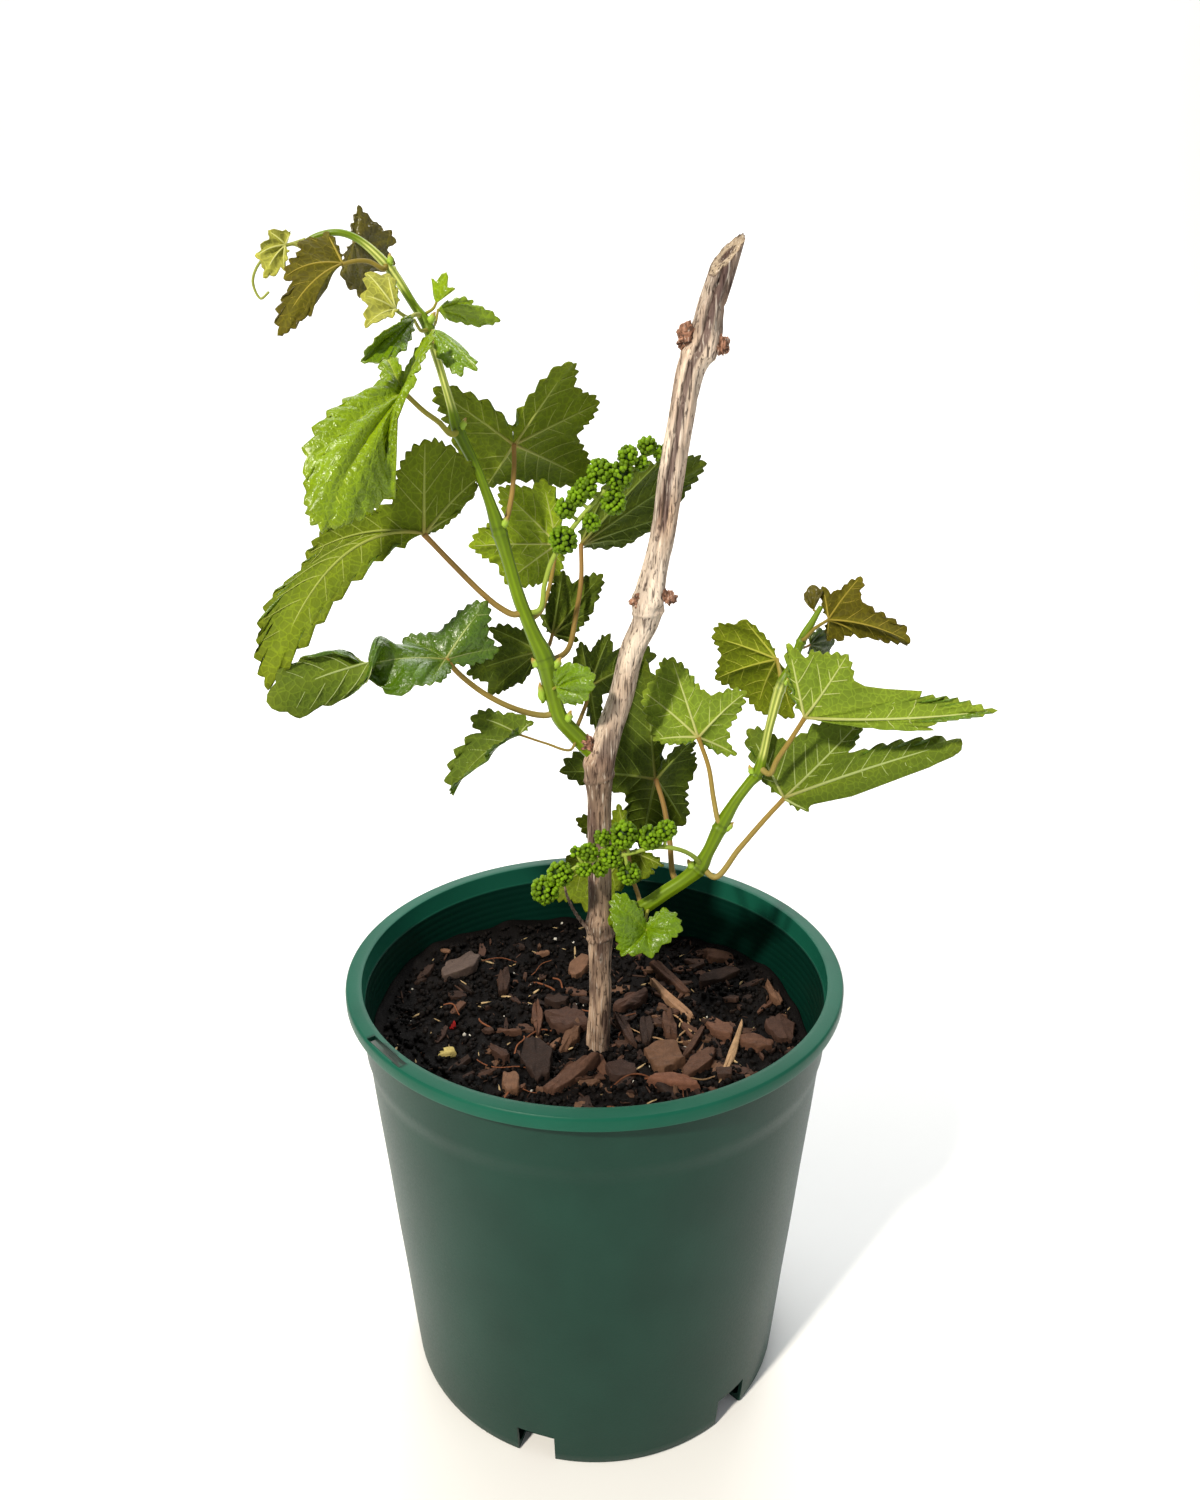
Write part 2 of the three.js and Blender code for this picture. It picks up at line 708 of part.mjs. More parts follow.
// A small squat bud.
function swelling({ at, size, tilt }, extra = 0) {
  const bud = new THREE.SphereGeometry(1, 5, 3);
  bud.rotateX(Math.PI / 2);
  bud.scale(size[0] + extra, size[1] + extra, size[2] + extra);
  bud.rotateY(radians(tilt));
  bud.translate(...at);
  return solid(bud);
}

function block(length, width, height) {
  return new THREE.BoxGeometry(length, width, height);
}

// The pot is turned from one profile, that runs from the middle of its base up the outside,
// over the rolled rim and down the inside to the floor.
function leaningRadius(height) {
  const share = height / (POT_HEIGHT - RIM_HEIGHT);
  return lerp(POT_BASE_RADIUS, POT_TOP_RADIUS, share);
}

function makePot() {
  const underRim = POT_HEIGHT - RIM_HEIGHT;
  const step = POT_HEIGHT - STEP_BELOW_RIM;
  const collar = leaningRadius(underRim) + COLLAR_RISE;
  const profile = [
    [0, 0],
    [POT_BASE_RADIUS - 1, 0],
    [leaningRadius(1), 1],
    [leaningRadius(COLLAR_FROM), COLLAR_FROM],
    [leaningRadius(COLLAR_FROM + 3) + COLLAR_RISE, COLLAR_FROM + 3],
    [collar, underRim],
    [collar + 0.1, POT_HEIGHT - RIM_THICKNESS],
    [RIM_RADIUS - RIM_THICKNESS, POT_HEIGHT - RIM_THICKNESS - 0.2],
    [RIM_RADIUS - RIM_THICKNESS + 0.2, underRim],
    [RIM_RADIUS - 0.4, underRim],
    [RIM_RADIUS, underRim + 0.7],
    [RIM_RADIUS, POT_HEIGHT - 1.1],
    [RIM_RADIUS - 1, POT_HEIGHT],
    [leaningRadius(step) - POT_WALL + 1.1, POT_HEIGHT],
    [leaningRadius(step) - POT_WALL + 0.5, POT_HEIGHT - 0.8],
    [leaningRadius(step) - POT_WALL + 0.4, step],
    [leaningRadius(step - 0.6) - POT_WALL, step - 0.6],
    [leaningRadius(POT_FLOOR + 2) - POT_WALL, POT_FLOOR + 2],
    [leaningRadius(POT_FLOOR) - POT_WALL - 2, POT_FLOOR],
    [0, POT_FLOOR],
  ].map(([r, z]) => new THREE.Vector2(r, z));
  const turned = new THREE.LatheGeometry(profile, POT_SIDES);
  turned.rotateX(Math.PI / 2);
  const notches = [];
  for (let i = 0; i < DRAIN_COUNT; i += 1) {
    const notch = block(DRAIN_WIDTH, DRAIN_REACH + 12, DRAIN_HEIGHT + 6);
    notch.translate(0, -(POT_BASE_RADIUS - DRAIN_REACH + (DRAIN_REACH + 12) / 2), (DRAIN_HEIGHT - 6) / 2);
    notch.rotateZ(radians(DRAIN_TURN + (i * 360) / DRAIN_COUNT));
    notches.push(solid(notch));
  }
  const slot = block(TAG_SLOT.length, TAG_SLOT.width, 6);
  slot.translate(0, -TAG_SLOT.radius, POT_HEIGHT);
  slot.rotateZ(radians(TAG_SLOT.turn));
  return cut(solid(turned), [...notches, solid(slot)]);
}

// Height of the potting mix: a shallow dish that climbs to the wall, with small lumps.
function mixHeight(x, y) {
  const reach = leaningRadius(MIX_MIDDLE) - POT_WALL;
  const share = Math.min(Math.hypot(x, y) / reach, 1);
  const place = (((radians(450) + Math.atan2(y, x)) % radians(360)) / radians(360)) * MIX_EDGE.length;
  const first = Math.floor(place) % MIX_EDGE.length;
  const edge = lerp(MIX_EDGE[first], MIX_EDGE[(first + 1) % MIX_EDGE.length], smooth(place % 1));
  const wide = Math.sin(x / 5.1 + y / 8.3) * Math.sin(y / 4.7 - x / 11);
  const narrow = 0.6 * Math.sin(x / 2.9) * Math.sin(y / 3.3);
  return MIX_MIDDLE + (edge - MIX_MIDDLE) * share ** 1.6 + 0.7 * (wide + narrow);
}

function makeMix(holes) {
  const points = [];
  const triangles = [];
  const around = (radius, heightAt) => {
    for (let i = 0; i < POT_SIDES; i += 1) {
      const turn = (i / POT_SIDES) * Math.PI * 2;
      const x = radius * Math.sin(turn);
      const y = -radius * Math.cos(turn);
      const [z, wide] = heightAt(x, y);
      points.push(new THREE.Vector3(x * wide, y * wide, z));
    }
  };
  const clear = POT_WALL + GAP;
  const floor = POT_FLOOR + GAP;
  points.push(new THREE.Vector3(0, 0, mixHeight(0, 0)));
  const reach = leaningRadius(MIX_MIDDLE) - clear;
  MIX_RINGS.forEach((share, ring) => {
    around(reach * share, (x, y) => {
      const z = mixHeight(x, y);
      return [z, ring === MIX_RINGS.length - 1 ? (leaningRadius(z) - clear) / reach : 1];
    });
  });
  around(leaningRadius(floor + MIX_CHAMFER) - clear, () => [floor + MIX_CHAMFER, 1]);
  around(leaningRadius(floor) - clear - MIX_CHAMFER, () => [floor, 1]);
  points.push(new THREE.Vector3(0, 0, floor));
  const rows = MIX_RINGS.length + 2;
  const last = points.length - 1;
  for (let i = 0; i < POT_SIDES; i += 1) {
    const next = (i + 1) % POT_SIDES;
    triangles.push([0, 1 + i, 1 + next]);
    for (let row = 0; row < rows - 1; row += 1) {
      const a = 1 + row * POT_SIDES;
      const b = a + POT_SIDES;
      triangles.push([a + i, b + i, b + next], [a + i, b + next, a + next]);
    }
    const rim = 1 + (rows - 1) * POT_SIDES;
    triangles.push([last, rim + next, rim + i]);
  }
  const chips = CHIPS.map(({ at: [x, y], size: [length, width, thick], turn, tilt }) => {
    const chip = block(length, width, thick * 1.6);
    const place = chip.attributes.position;
    for (let i = 0; i < place.count; i += 1) {
      const end = place.getX(i) > 0 ? 0.7 : 0.9;
      const top = place.getZ(i) > 0 ? 0.8 : 1;
      place.setXYZ(i, place.getX(i) * top, place.getY(i) * end * top, place.getZ(i));
    }
    chip.rotateY(radians(-tilt));
    chip.rotateZ(radians(turn));
    chip.translate(x, y, mixHeight(x, y) - thick * 0.25);
    return solid(chip);
  });
  return cut(join([solid(facets(points, triangles)), ...chips]), holes);
}

// The form of one leaf: a polar outline about the junction, made of five lobes and a middle
// disc, laid on the veins. `u` counts the veins from 0 to 4, with the outer halves of the two
// basal lobes below 0 and above 4, and `q` is the share of the way to the edge.
class LeafForm {
  constructor(leaf) {
    this.junction = new THREE.Vector3(...leaf.at);
    const tips = leaf.tips.map((tip) => new THREE.Vector3(...tip));
    this.lengths = tips.map((tip) => tip.length());
    this.veins = tips.map((tip) => tip.clone().normalize());
    this.slim = leaf.slim;
    this.swing = radians(leaf.swing ?? 60);
    this.quilt = leaf.quilt ?? 1.2;
    this.rolls = leaf.rolls ?? {};
    const longest = Math.max(...this.lengths);
    this.arches = this.lengths.map((length, i) => {
      const bend = leaf.bends?.[i];
      if (bend) return new THREE.Vector3(...bend);
      return new THREE.Vector3(...leaf.arch).multiplyScalar(length / longest);
    });
    this.angles = [0];
    this.forward = [];
    this.backward = [];
    for (let i = 0; i < 4; i += 1) {
      const [a, b] = [this.veins[i], this.veins[i + 1]];
      this.angles.push(this.angles[i] + a.angleTo(b));
      this.forward.push(b.clone().addScaledVector(a, -a.dot(b)).normalize());
      this.backward.push(a.clone().addScaledVector(b, -a.dot(b)).normalize());
    }
    this.backward.unshift(this.forward[0].clone().negate());
    this.forward.push(this.backward[4].clone().negate());
    const mean = this.lengths.reduce((sum, length) => sum + Math.log(length), 0) / 5;
    this.disc = leaf.heart * Math.exp(mean);
  }

  lobe(i, angle) {
    if (Math.abs(angle) >= Math.PI / 2) return 0;
    const along = Math.cos(angle);
    const across = Math.sin(angle) / this.slim[i];
    return (this.lengths[i] * along) / (along * along + across * across);
  }

  edge(angle) {
    const inward = Math.min(angle, this.angles[4] - angle);
    const disc = this.disc * clamp(inward / 0.35, 0, 1);
    const lobes = this.angles.map((middle, i) => this.lobe(i, angle - middle) ** 5);
    return lobes.reduce((sum, lobe) => sum + lobe, disc ** 5) ** 0.2;
  }

  // The outer half of a basal lobe, from its tip at 0 back to the junction at 1.
  outer(vein, turn) {
    return (this.lobe(vein, (turn * Math.PI) / 2) * this.edge(this.angles[vein])) / this.lengths[vein];
  }

  sideways(i, ahead, share) {
    const side = (ahead ? this.forward : this.backward)[i].clone();
    if (!(i in this.rolls)) return side;
    const [degrees, start, end] = this.rolls[i];
    return side.applyAxisAngle(this.veins[i], radians(degrees) * smooth((share - start) / (end - start)));
  }

  beside(i, ahead, radius, angle) {
    const along = radius * Math.cos(angle);
    const share = clamp(along / this.lengths[i], 0, 1.15);
    return this.veins[i].clone().multiplyScalar(along)
      .addScaledVector(this.arches[i], 4 * share * (1 - share))
      .addScaledVector(this.sideways(i, ahead, share), radius * Math.abs(Math.sin(angle)));
  }

  point(u, q) {
    if (u < 0 || u > 4) {
      const vein = u < 0 ? 0 : 4;
      const turn = Math.abs(u - vein);
      return this.beside(vein, vein === 4, this.outer(vein, turn) * q, turn * this.swing).add(this.junction);
    }
    const i = Math.min(Math.floor(u), 3);
    const t = u - i;
    const sector = this.angles[i + 1] - this.angles[i];
    const radius = this.edge(this.angles[i] + t * sector) * q;
    const first = this.beside(i, true, radius, t * sector);
    const second = this.beside(i + 1, false, radius, (1 - t) * sector);
    const above = this.veins[i + 1].clone().cross(this.veins[i]).normalize();
    return first.lerp(second, smooth(t))
      .addScaledVector(above, this.quilt * Math.sin(Math.PI * t) * Math.sin(Math.PI * q))
      .add(this.junction);
  }

  // The places along the edge where a lobe ends or two lobes meet.
  turns() {
    const turns = [-1, 0];
    for (let i = 0; i < 4; i += 1) {
      let lowest = i + 0.5;
      for (let t = 0.25; t < 0.76; t += 0.01) {
        const angleAt = (share) => lerp(this.angles[i], this.angles[i + 1], share);
        if (this.edge(angleAt(t)) < this.edge(angleAt(lowest - i))) lowest = i + t;
      }
      turns.push(lowest, i + 1);
    }
    return [...turns, 5];
  }

  // The toothed edge: teeth evenly spaced along each side of each lobe, leaning to its tip.
  toothed(teeth, height) {
    const turns = this.turns();
    const marks = [];
    for (let k = 0; k < turns.length - 1; k += 1) {
      const line = [];
      let length = 0;
      let before = this.point(turns[k], 1);
      for (let step = 0; step <= 60; step += 1) {
        const u = lerp(turns[k], turns[k + 1], step / 60);
        const here = this.point(u, 1);
        length += here.distanceTo(before);
        before = here;
        line.push([u, length]);
      }
      const vein = Math.round(turns[k + (k % 2 === 0 ? 1 : 0)]);
      const covered = this.edge(this.angles[vein]) > 1.3 * this.lengths[vein];
      const count = covered ? 1 : clamp(Math.round(length / (teeth > 2 ? 4.2 : 3)), 1, teeth);
      const at = (share) => {
        const wanted = (k % 2 === 0 ? share : 1 - share) * length;
        const next = Math.max(line.findIndex(([, run]) => run >= wanted), 1);
        const [[u0, run0], [u1, run1]] = [line[next - 1], line[next]];
        return lerp(u0, u1, (wanted - run0) / Math.max(run1 - run0, 1e-6));
      };
      if (k > 0 && k % 2 === 0) marks.push({ u: turns[k], lift: 0 });
      for (let tooth = 0; tooth < count; tooth += 1) {
        if (tooth > 0) marks.push({ u: at((tooth + 0.4) / count), lift: -0.5 });
        marks.push({ u: at((tooth + 1) / count), lift: covered ? 0 : 0.5 });
      }
    }
    marks.sort((a, b) => a.u - b.u);
    const kept = marks.filter((mark, i) => i === 0 || mark.u - marks[i - 1].u > 1e-4);
    const places = kept.map(({ u }) => this.point(u, 1));
    return kept.map(({ u, lift }, i) => {
      const ahead = this.point(Math.min(u + 1e-3, 5), 1);
      const tangent = ahead.sub(this.point(Math.max(u - 1e-3, -1), 1)).normalize();
      const inward = this.point(u, 0.97).sub(places[i]);
      const normal = tangent.clone().cross(inward).normalize();
      const outward = normal.cross(tangent);
      if (outward.dot(inward) > 0) outward.negate();
      const vein = Math.round(u);
      if (Math.abs(u - vein) < 1e-3 && vein >= 0 && vein <= 4) outward.copy(this.veins[vein]);
      const before = i > 0 ? places[i].distanceTo(places[i - 1]) : 0;
      const after = i < places.length - 1 ? places[i].distanceTo(places[i + 1]) : 0;
      const reach = Math.min(height, 1.1 * Math.min(before, after));
      return { u, place: places[i].clone().addScaledVector(outward, reach * lift) };
    });
  }
}

// Triangles between a vein and one side of its lobe, both in order towards the tip. The shorter
// of the two possible next edges is taken each time.
function strip(spine, side, sheet) {
  const triangles = [];
  let a = 0;
  let b = 0;
  while (a < spine.length - 1 || b < side.length - 1) {
    const closing = b + 1 >= side.length - 1;
    const forward = a < spine.length - 1 ? sheet[spine[a + 1]].distanceTo(sheet[side[b]]) : Infinity;
    if (a < spine.length - 1 && (closing || forward <= sheet[side[b + 1]].distanceTo(sheet[spine[a]]))) {
      triangles.push([spine[a], side[b], spine[a + 1]]);
      a += 1;
    } else {
      triangles.push([spine[a], side[b], side[b + 1]]);
      b += 1;
    }
  }
  return triangles;
}

// The direction at every corner of a sheet that faces all the triangles round it most evenly.
function standing(sheet, triangles) {
  const faces = sheet.map(() => []);
  triangles.forEach(([a, b, c]) => {
    const across = sheet[b].clone().sub(sheet[a]).cross(sheet[c].clone().sub(sheet[a]));
    if (across.length() < 1e-3) return;
    const facing = across.normalize();
    [a, b, c].forEach((corner) => faces[corner].push(facing));
  });
  return faces.map((around) => {
    const direction = around.reduce((sum, face) => sum.add(face), new THREE.Vector3()).normalize();
    for (let turn = 1; turn <= 60; turn += 1) {
      const slopes = around.map((face) => face.dot(direction));
      const steepest = around[slopes.indexOf(Math.min(...slopes))];
      direction.addScaledVector(steepest, 0.5 / turn).normalize();
    }
    return direction;
  });
}

// A sheet thickened to both sides into one closed body, with the same triangles above and below.
function thicken(sheet, triangles, rim) {
  const lean = standing(sheet, triangles);
  const above = sheet.map((place, i) => place.clone().addScaledVector(lean[i], BLADE / 2));
  const below = sheet.map((place, i) => place.clone().addScaledVector(lean[i], -BLADE / 2));
  const half = sheet.length;
  const walls = rim.flatMap((a, i) => {
    const b = rim[(i + 1) % rim.length];
    return [[a + half, b + half, b], [a + half, b, a]];
  });
  const under = triangles.map(([a, b, c]) => [a + half, c + half, b + half]);
  return solid(facets([...above, ...below], [...triangles, ...under, ...walls]));
}

// One closed blade. Each half of a lobe is a strip of triangles between its vein and its toothed
// edge, and the sheet is thickened evenly to both sides, with the same triangles above and below.
function makeBlade(leaf) {
  const form = new LeafForm(leaf);
  const edge = form.toothed(leaf.teeth, leaf.tooth);
  const turns = form.turns();
  const sheet = [form.junction, ...edge.map(({ place }) => place)];
  const triangles = [];
  const marks = leaf.marks ?? (leaf.teeth > 1 ? 3 : 1);
  const creases = [0, 1, 2, 3].map((i) => {
    const shares = leaf.marks ? [0.36, 0.7] : [0.5].slice(0, leaf.teeth - 1);
    return shares.map((q) => sheet.push(form.point(turns[2 * i + 2], q)) - 1);
  });
  for (let vein = 0; vein <= 4; vein += 1) {
    const spine = [0];
    for (let k = 1; k <= marks; k += 1) {
      spine.push(sheet.push(form.point(vein, k / (marks + 1))) - 1);
    }
    const rising = [...(creases[vein - 1] ?? [])];
    const falling = [];
    edge.forEach(({ u }, i) => {
      if (u > turns[2 * vein] - 1e-6 && u < vein + 1e-4) rising.push(i + 1);
      if (u > vein - 1e-4 && u < turns[2 * vein + 2] + 1e-6) falling.unshift(i + 1);
    });
    triangles.push(...strip(spine, rising, sheet));
    const back = strip(spine, [...(creases[vein] ?? []), ...falling], sheet);
    triangles.push(...back.map(([a, b, c]) => [a, c, b]));
  }
  return thicken(sheet, triangles, [0, ...edge.map((_, i) => i + 1)]);
}

// A whole leaf: its blade with the petiole, which runs on to the middle of the nearest stem.
function makeLeaf(leaf, stems) {
  const [first, ...rest] = leaf.petiole.path.map((place) => new THREE.Vector3(...place));
  const last = rest.at(-1) ?? first;
  const roots = stems.map((stem) => stem.nearest(last));
  roots.sort((a, b) => a.distanceTo(last) - b.distanceTo(last));
  const line = [new THREE.Vector3(...leaf.at), first, ...rest, roots[0]];
  const petiole = new Stem(line.map((place, i) => {
    return [...place.toArray(), leaf.petiole.radius * lerp(0.85, 1.15, i / line.length)];
  }));
  return join([makeBlade(leaf), petiole.bar(5, line.length + 1)]);
}

// A head of flower buds: a ball whose facets rise to one low point for each bud, 32 on a large
// head and 12 on a small one, with the valleys between them sunk in.
function makeHead([x, y, z, radius]) {
  const detail = radius > HEAD_LARGE ? 2 : 1;
  const head = new THREE.IcosahedronGeometry(1, detail);
  const corners = new THREE.IcosahedronGeometry(1, 0).attributes.position;
  const peaks = [];
  for (let i = 0; i < corners.count; i += 3) {
    const face = [0, 1, 2].map((k) => new THREE.Vector3().fromBufferAttribute(corners, i + k));
    peaks.push(...face);
    if (detail === 2) peaks.push(face[0].clone().add(face[1]).add(face[2]).normalize());
  }
  const place = head.attributes.position;
  for (let i = 0; i < place.count; i += 1) {
    const corner = new THREE.Vector3().fromBufferAttribute(place, i);
    const rises = peaks.some((peak) => peak.distanceTo(corner) < 0.02);
    corner.multiplyScalar(rises ? radius : radius * HEAD_VALLEY);
    place.setXYZ(i, corner.x, corner.y, corner.z);
  }
  head.rotateZ(x + z);
  head.rotateX(y + z);
  head.translate(x, y, z);
  return solid(head);
}

function makeCluster(stations, heads) {
  const stalk = new Stem(stations);
  const branches = heads.map(([x, y, z]) => {
    const middle = new THREE.Vector3(x, y, z);
    const root = stalk.nearest(middle);
    const length = root.distanceTo(middle);
    if (length < 2) return null;
    return new Stem([[...root.toArray(), 0.6], [...middle.toArray(), 0.6]]).bar(3, 1);
  }).filter((branch) => branch);
  return join([stalk.bar(4, 14), ...branches, ...heads.map(makeHead)]);
}

const cane = new Stem(CANE);
const shootLeft = new Stem(SHOOT_LEFT);
const shootRight = new Stem(SHOOT_RIGHT);

function makeCane(extra = 0) {
  const whole = join([cane.bar(CANE_SIDES, 30, extra), ...CANE_BUDS.map((bud) => swelling(bud, extra))]);
  const cutter = block(60, 60, 40);
  cutter.translate(0, 0, 20 + extra);
  cutter.rotateY(radians(CANE_CUT.lean));
  cutter.translate(44, 0, CANE_CUT.height);
  return whole.subtract(solid(cutter));
}

function makeShoot(stem, buds, steps, extra = 0) {
  return join([stem.bar(SHOOT_SIDES, steps, extra), ...buds.map((bud) => swelling(bud, extra))]);
}

const aroundCane = makeCane(GAP);
const tendril = new Stem(TENDRIL);
const aroundLeft = makeShoot(shootLeft, LEFT_BUDS, 34, GAP).add(tendril.bar(4, 10, GAP));
const aroundRight = makeShoot(shootRight, RIGHT_BUDS, 27, GAP);

const TONES = {
  pot: { color: '#1f4f3e', roughness: 0.42 },
  mix: { color: '#1c1613', roughness: 1 },
  cane: { color: '#8d7763', roughness: 0.85 },
  shoot: { color: '#8fae3c', roughness: 0.5 },
  flower: { color: '#86ab32', roughness: 0.6 },
  leaf: { color: '#5f9a1f', roughness: 0.45 },
  underside: { color: '#739a4c', roughness: 0.7 },
  dark: { color: '#3a6420', roughness: 0.6 },
  bronze: { color: '#7a6a1c', roughness: 0.5 },
};
const LEAF_TONES = {
  leaf_glossy: 'leaf',
  leaf_low_twisted: 'leaf',
  leaf_bright_bud: 'leaf',
  leaf_pot_front: 'leaf',
  leaf_behind_cane: 'dark',
  leaf_dark_inner: 'dark',
  leaf_dark_left: 'dark',
  leaf_dark_centre: 'dark',
  leaf_dark_cane: 'dark',
  leaf_dark_right: 'dark',
  leaf_bronze_tip: 'bronze',
  leaf_bronze_bud: 'bronze',
};

function piece(name, body, tone) {
  const material = new THREE.MeshStandardMaterial({ ...TONES[tone], metalness: 0 });
  const mesh = new THREE.Mesh(surface(body), material);
  mesh.name = name;
  return mesh;
}

const plant = new THREE.Group();
plant.add(
  piece('pot', makePot(), 'pot'),
  piece('potting_mix', makeMix([aroundCane]), 'mix'),
  piece('cane', makeCane(), 'cane'),
  piece('shoot_left', cut(makeShoot(shootLeft, LEFT_BUDS, 34).add(tendril.bar(4, 10)), [aroundCane]), 'shoot'),
  piece('shoot_right', cut(makeShoot(shootRight, RIGHT_BUDS, 27), [aroundCane]), 'shoot'),
);
LEAVES.forEach((leaf) => {
  const body = cut(makeLeaf(leaf, [shootLeft, shootRight]), [aroundLeft, aroundRight]);
  plant.add(piece(leaf.name, body, LEAF_TONES[leaf.name] ?? 'underside'));
});
plant.add(
  piece('flower_cluster_upper', cut(makeCluster(UPPER_STALK, UPPER_HEADS), [aroundLeft]), 'flower'),
  piece('flower_cluster_lower', cut(makeCluster(LOWER_STALK, LOWER_HEADS), [aroundRight]), 'flower'),
);

export default plant;
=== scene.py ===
"""A flame seedless grapevine in flower in its nursery pot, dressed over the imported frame.

Each sub-assembly is a class: the pot, the potting mix, the cane, the green shoots, the leaves and
the flower clusters. Their surfaces are worked out with numpy as whole arrays, in millimetres, and
scaled to metres as they go into a mesh. A leaf is a sheet over two parameters, the turn about its
junction and the share of the way to its edge.
"""

import logging
import math
from dataclasses import dataclass, field
from enum import Enum
from typing import Any, Sequence

import bpy
import numpy as np
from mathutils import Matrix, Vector


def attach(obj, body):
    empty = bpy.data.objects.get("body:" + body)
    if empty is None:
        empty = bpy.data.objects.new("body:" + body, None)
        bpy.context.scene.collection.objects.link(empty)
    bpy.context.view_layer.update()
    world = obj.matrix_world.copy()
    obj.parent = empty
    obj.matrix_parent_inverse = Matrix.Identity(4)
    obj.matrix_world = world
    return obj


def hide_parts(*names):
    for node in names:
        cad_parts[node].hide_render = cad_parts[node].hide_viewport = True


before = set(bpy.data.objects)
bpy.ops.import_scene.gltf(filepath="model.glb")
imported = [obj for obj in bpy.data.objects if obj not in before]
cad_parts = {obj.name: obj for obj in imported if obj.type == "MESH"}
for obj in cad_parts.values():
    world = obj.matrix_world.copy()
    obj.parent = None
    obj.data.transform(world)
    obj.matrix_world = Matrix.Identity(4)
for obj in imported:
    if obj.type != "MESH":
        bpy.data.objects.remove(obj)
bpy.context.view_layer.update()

log = logging.getLogger("grapevine")
MM = 0.001
Array = np.ndarray
Point = tuple[float, float, float]
Station = tuple[float, float, float, float]
WHITE: Point = (1.0, 1.0, 1.0)
EVEN: Point = (1.0, 1.0, 1.0)
COAT_ROUGHNESS = 0.25


# Helpers for arrays


def smooth(value: Array | float) -> Array:
    """Smooth step: 0 below 0, 1 above 1, 3v^2 - 2v^3 between."""
    v = np.clip(value, 0.0, 1.0)
    return v * v * (3.0 - 2.0 * v)


def unit(vectors: Array) -> Array:
    """Each vector of an array at length one."""
    return vectors / np.maximum(np.linalg.norm(vectors, axis=-1, keepdims=True), 1e-9)


def table_noise(x: Array, y: Array, seed: int, wrap: int = 64) -> Array:
    """Smooth noise from -1 to 1: random values on a lattice, blended by the smooth step.

    Args:
        x: First coordinate, in lattice cells. It repeats after `wrap` cells.
        y: Second coordinate, in lattice cells.
        seed: Seed of the random table.
        wrap: Cells after which the pattern repeats along x.

    Returns:
        The noise at each place.
    """
    table = np.random.default_rng(seed).uniform(-1.0, 1.0, (wrap, 64))
    x0 = np.floor(x).astype(int)
    y0 = np.floor(y).astype(int)
    fx = smooth(x - x0)
    fy = smooth(y - y0)
    a = table[x0 % wrap, y0 % 64]
    b = table[(x0 + 1) % wrap, y0 % 64]
    c = table[x0 % wrap, (y0 + 1) % 64]
    d = table[(x0 + 1) % wrap, (y0 + 1) % 64]
    return (a + (b - a) * fx) * (1.0 - fy) + (c + (d - c) * fx) * fy


def rough(x: Array, y: Array, seed: int, octaves: int = 3, wrap: int = 64) -> Array:
    """Several layers of table noise, each twice as fine and half as high as the one before.

    Args:
        x: First coordinate, in cells of the first layer.
        y: Second coordinate, in the same cells.
        seed: Seed of the first layer.
        octaves: Number of layers.
        wrap: Cells after which the first layer repeats along x.

    Returns:
        The sum of the layers.
    """
    total = np.zeros_like(x, dtype=float)
    for k in range(octaves):
        total += table_noise(x * 2**k, y * 2**k, seed + k, wrap * 2**k) * 0.5**k
    return total


def turned(vectors: Array, axis: Array, angle: Array) -> Array:
    """Vectors turned about an axis by Rodrigues' formula.

    Args:
        vectors: Rows of vectors.
        axis: The axis, of length one.
        angle: One angle for each vector, in radians.

    Returns:
        The turned vectors.
    """
    c, s = np.cos(angle)[..., None], np.sin(angle)[..., None]
    dot = (vectors * axis).sum(-1, keepdims=True)
    return vectors * c + np.cross(np.broadcast_to(axis, vectors.shape), vectors) * s + axis * dot * (1 - c)


def leaned(degrees: float) -> Array:
    """The matrix that leans rows of points to the right about the viewer's line of sight."""
    a = math.radians(degrees)
    return np.array([[math.cos(a), 0, -math.sin(a)], [0, 1, 0], [math.sin(a), 0, math.cos(a)]])


def path_through(stations: Array, count: int) -> Array:
    """A smooth line through points: a Catmull-Rom curve with centripetal knots.

    Each point is blended from its four nearest stations, with the knots apart by the square root
    of the distance between stations.

    Args:
        stations: Rows of points, with any number of further columns that follow the same blend.
        count: How many points to return, even in the stations' own count.

    Returns:
        Rows of the same width as `stations`.
    """
    p = np.vstack([2 * stations[0] - stations[1], stations, 2 * stations[-1] - stations[-2]])
    place = np.linspace(0, len(stations) - 1, count)
    k = np.minimum(place.astype(int), len(stations) - 2)
    t = (place - k)[:, None]
    p0, p1, p2, p3 = p[k], p[k + 1], p[k + 2], p[k + 3]
    gap = [np.maximum(np.sqrt(np.linalg.norm((b - a)[:, :3], axis=1)), 1e-4)[:, None]
           for a, b in ((p0, p1), (p1, p2), (p2, p3))]
    m1 = (p1 - p0) / gap[0] - (p2 - p0) / (gap[0] + gap[1]) + (p2 - p1) / gap[1]
    m2 = (p2 - p1) / gap[1] - (p3 - p1) / (gap[1] + gap[2]) + (p3 - p2) / gap[2]
    m1, m2 = m1 * gap[1], m2 * gap[1]
    return (p1 * (2 * t**3 - 3 * t**2 + 1) + m1 * (t**3 - 2 * t**2 + t)
            + p2 * (3 * t**2 - 2 * t**3) + m2 * (t**3 - t**2))


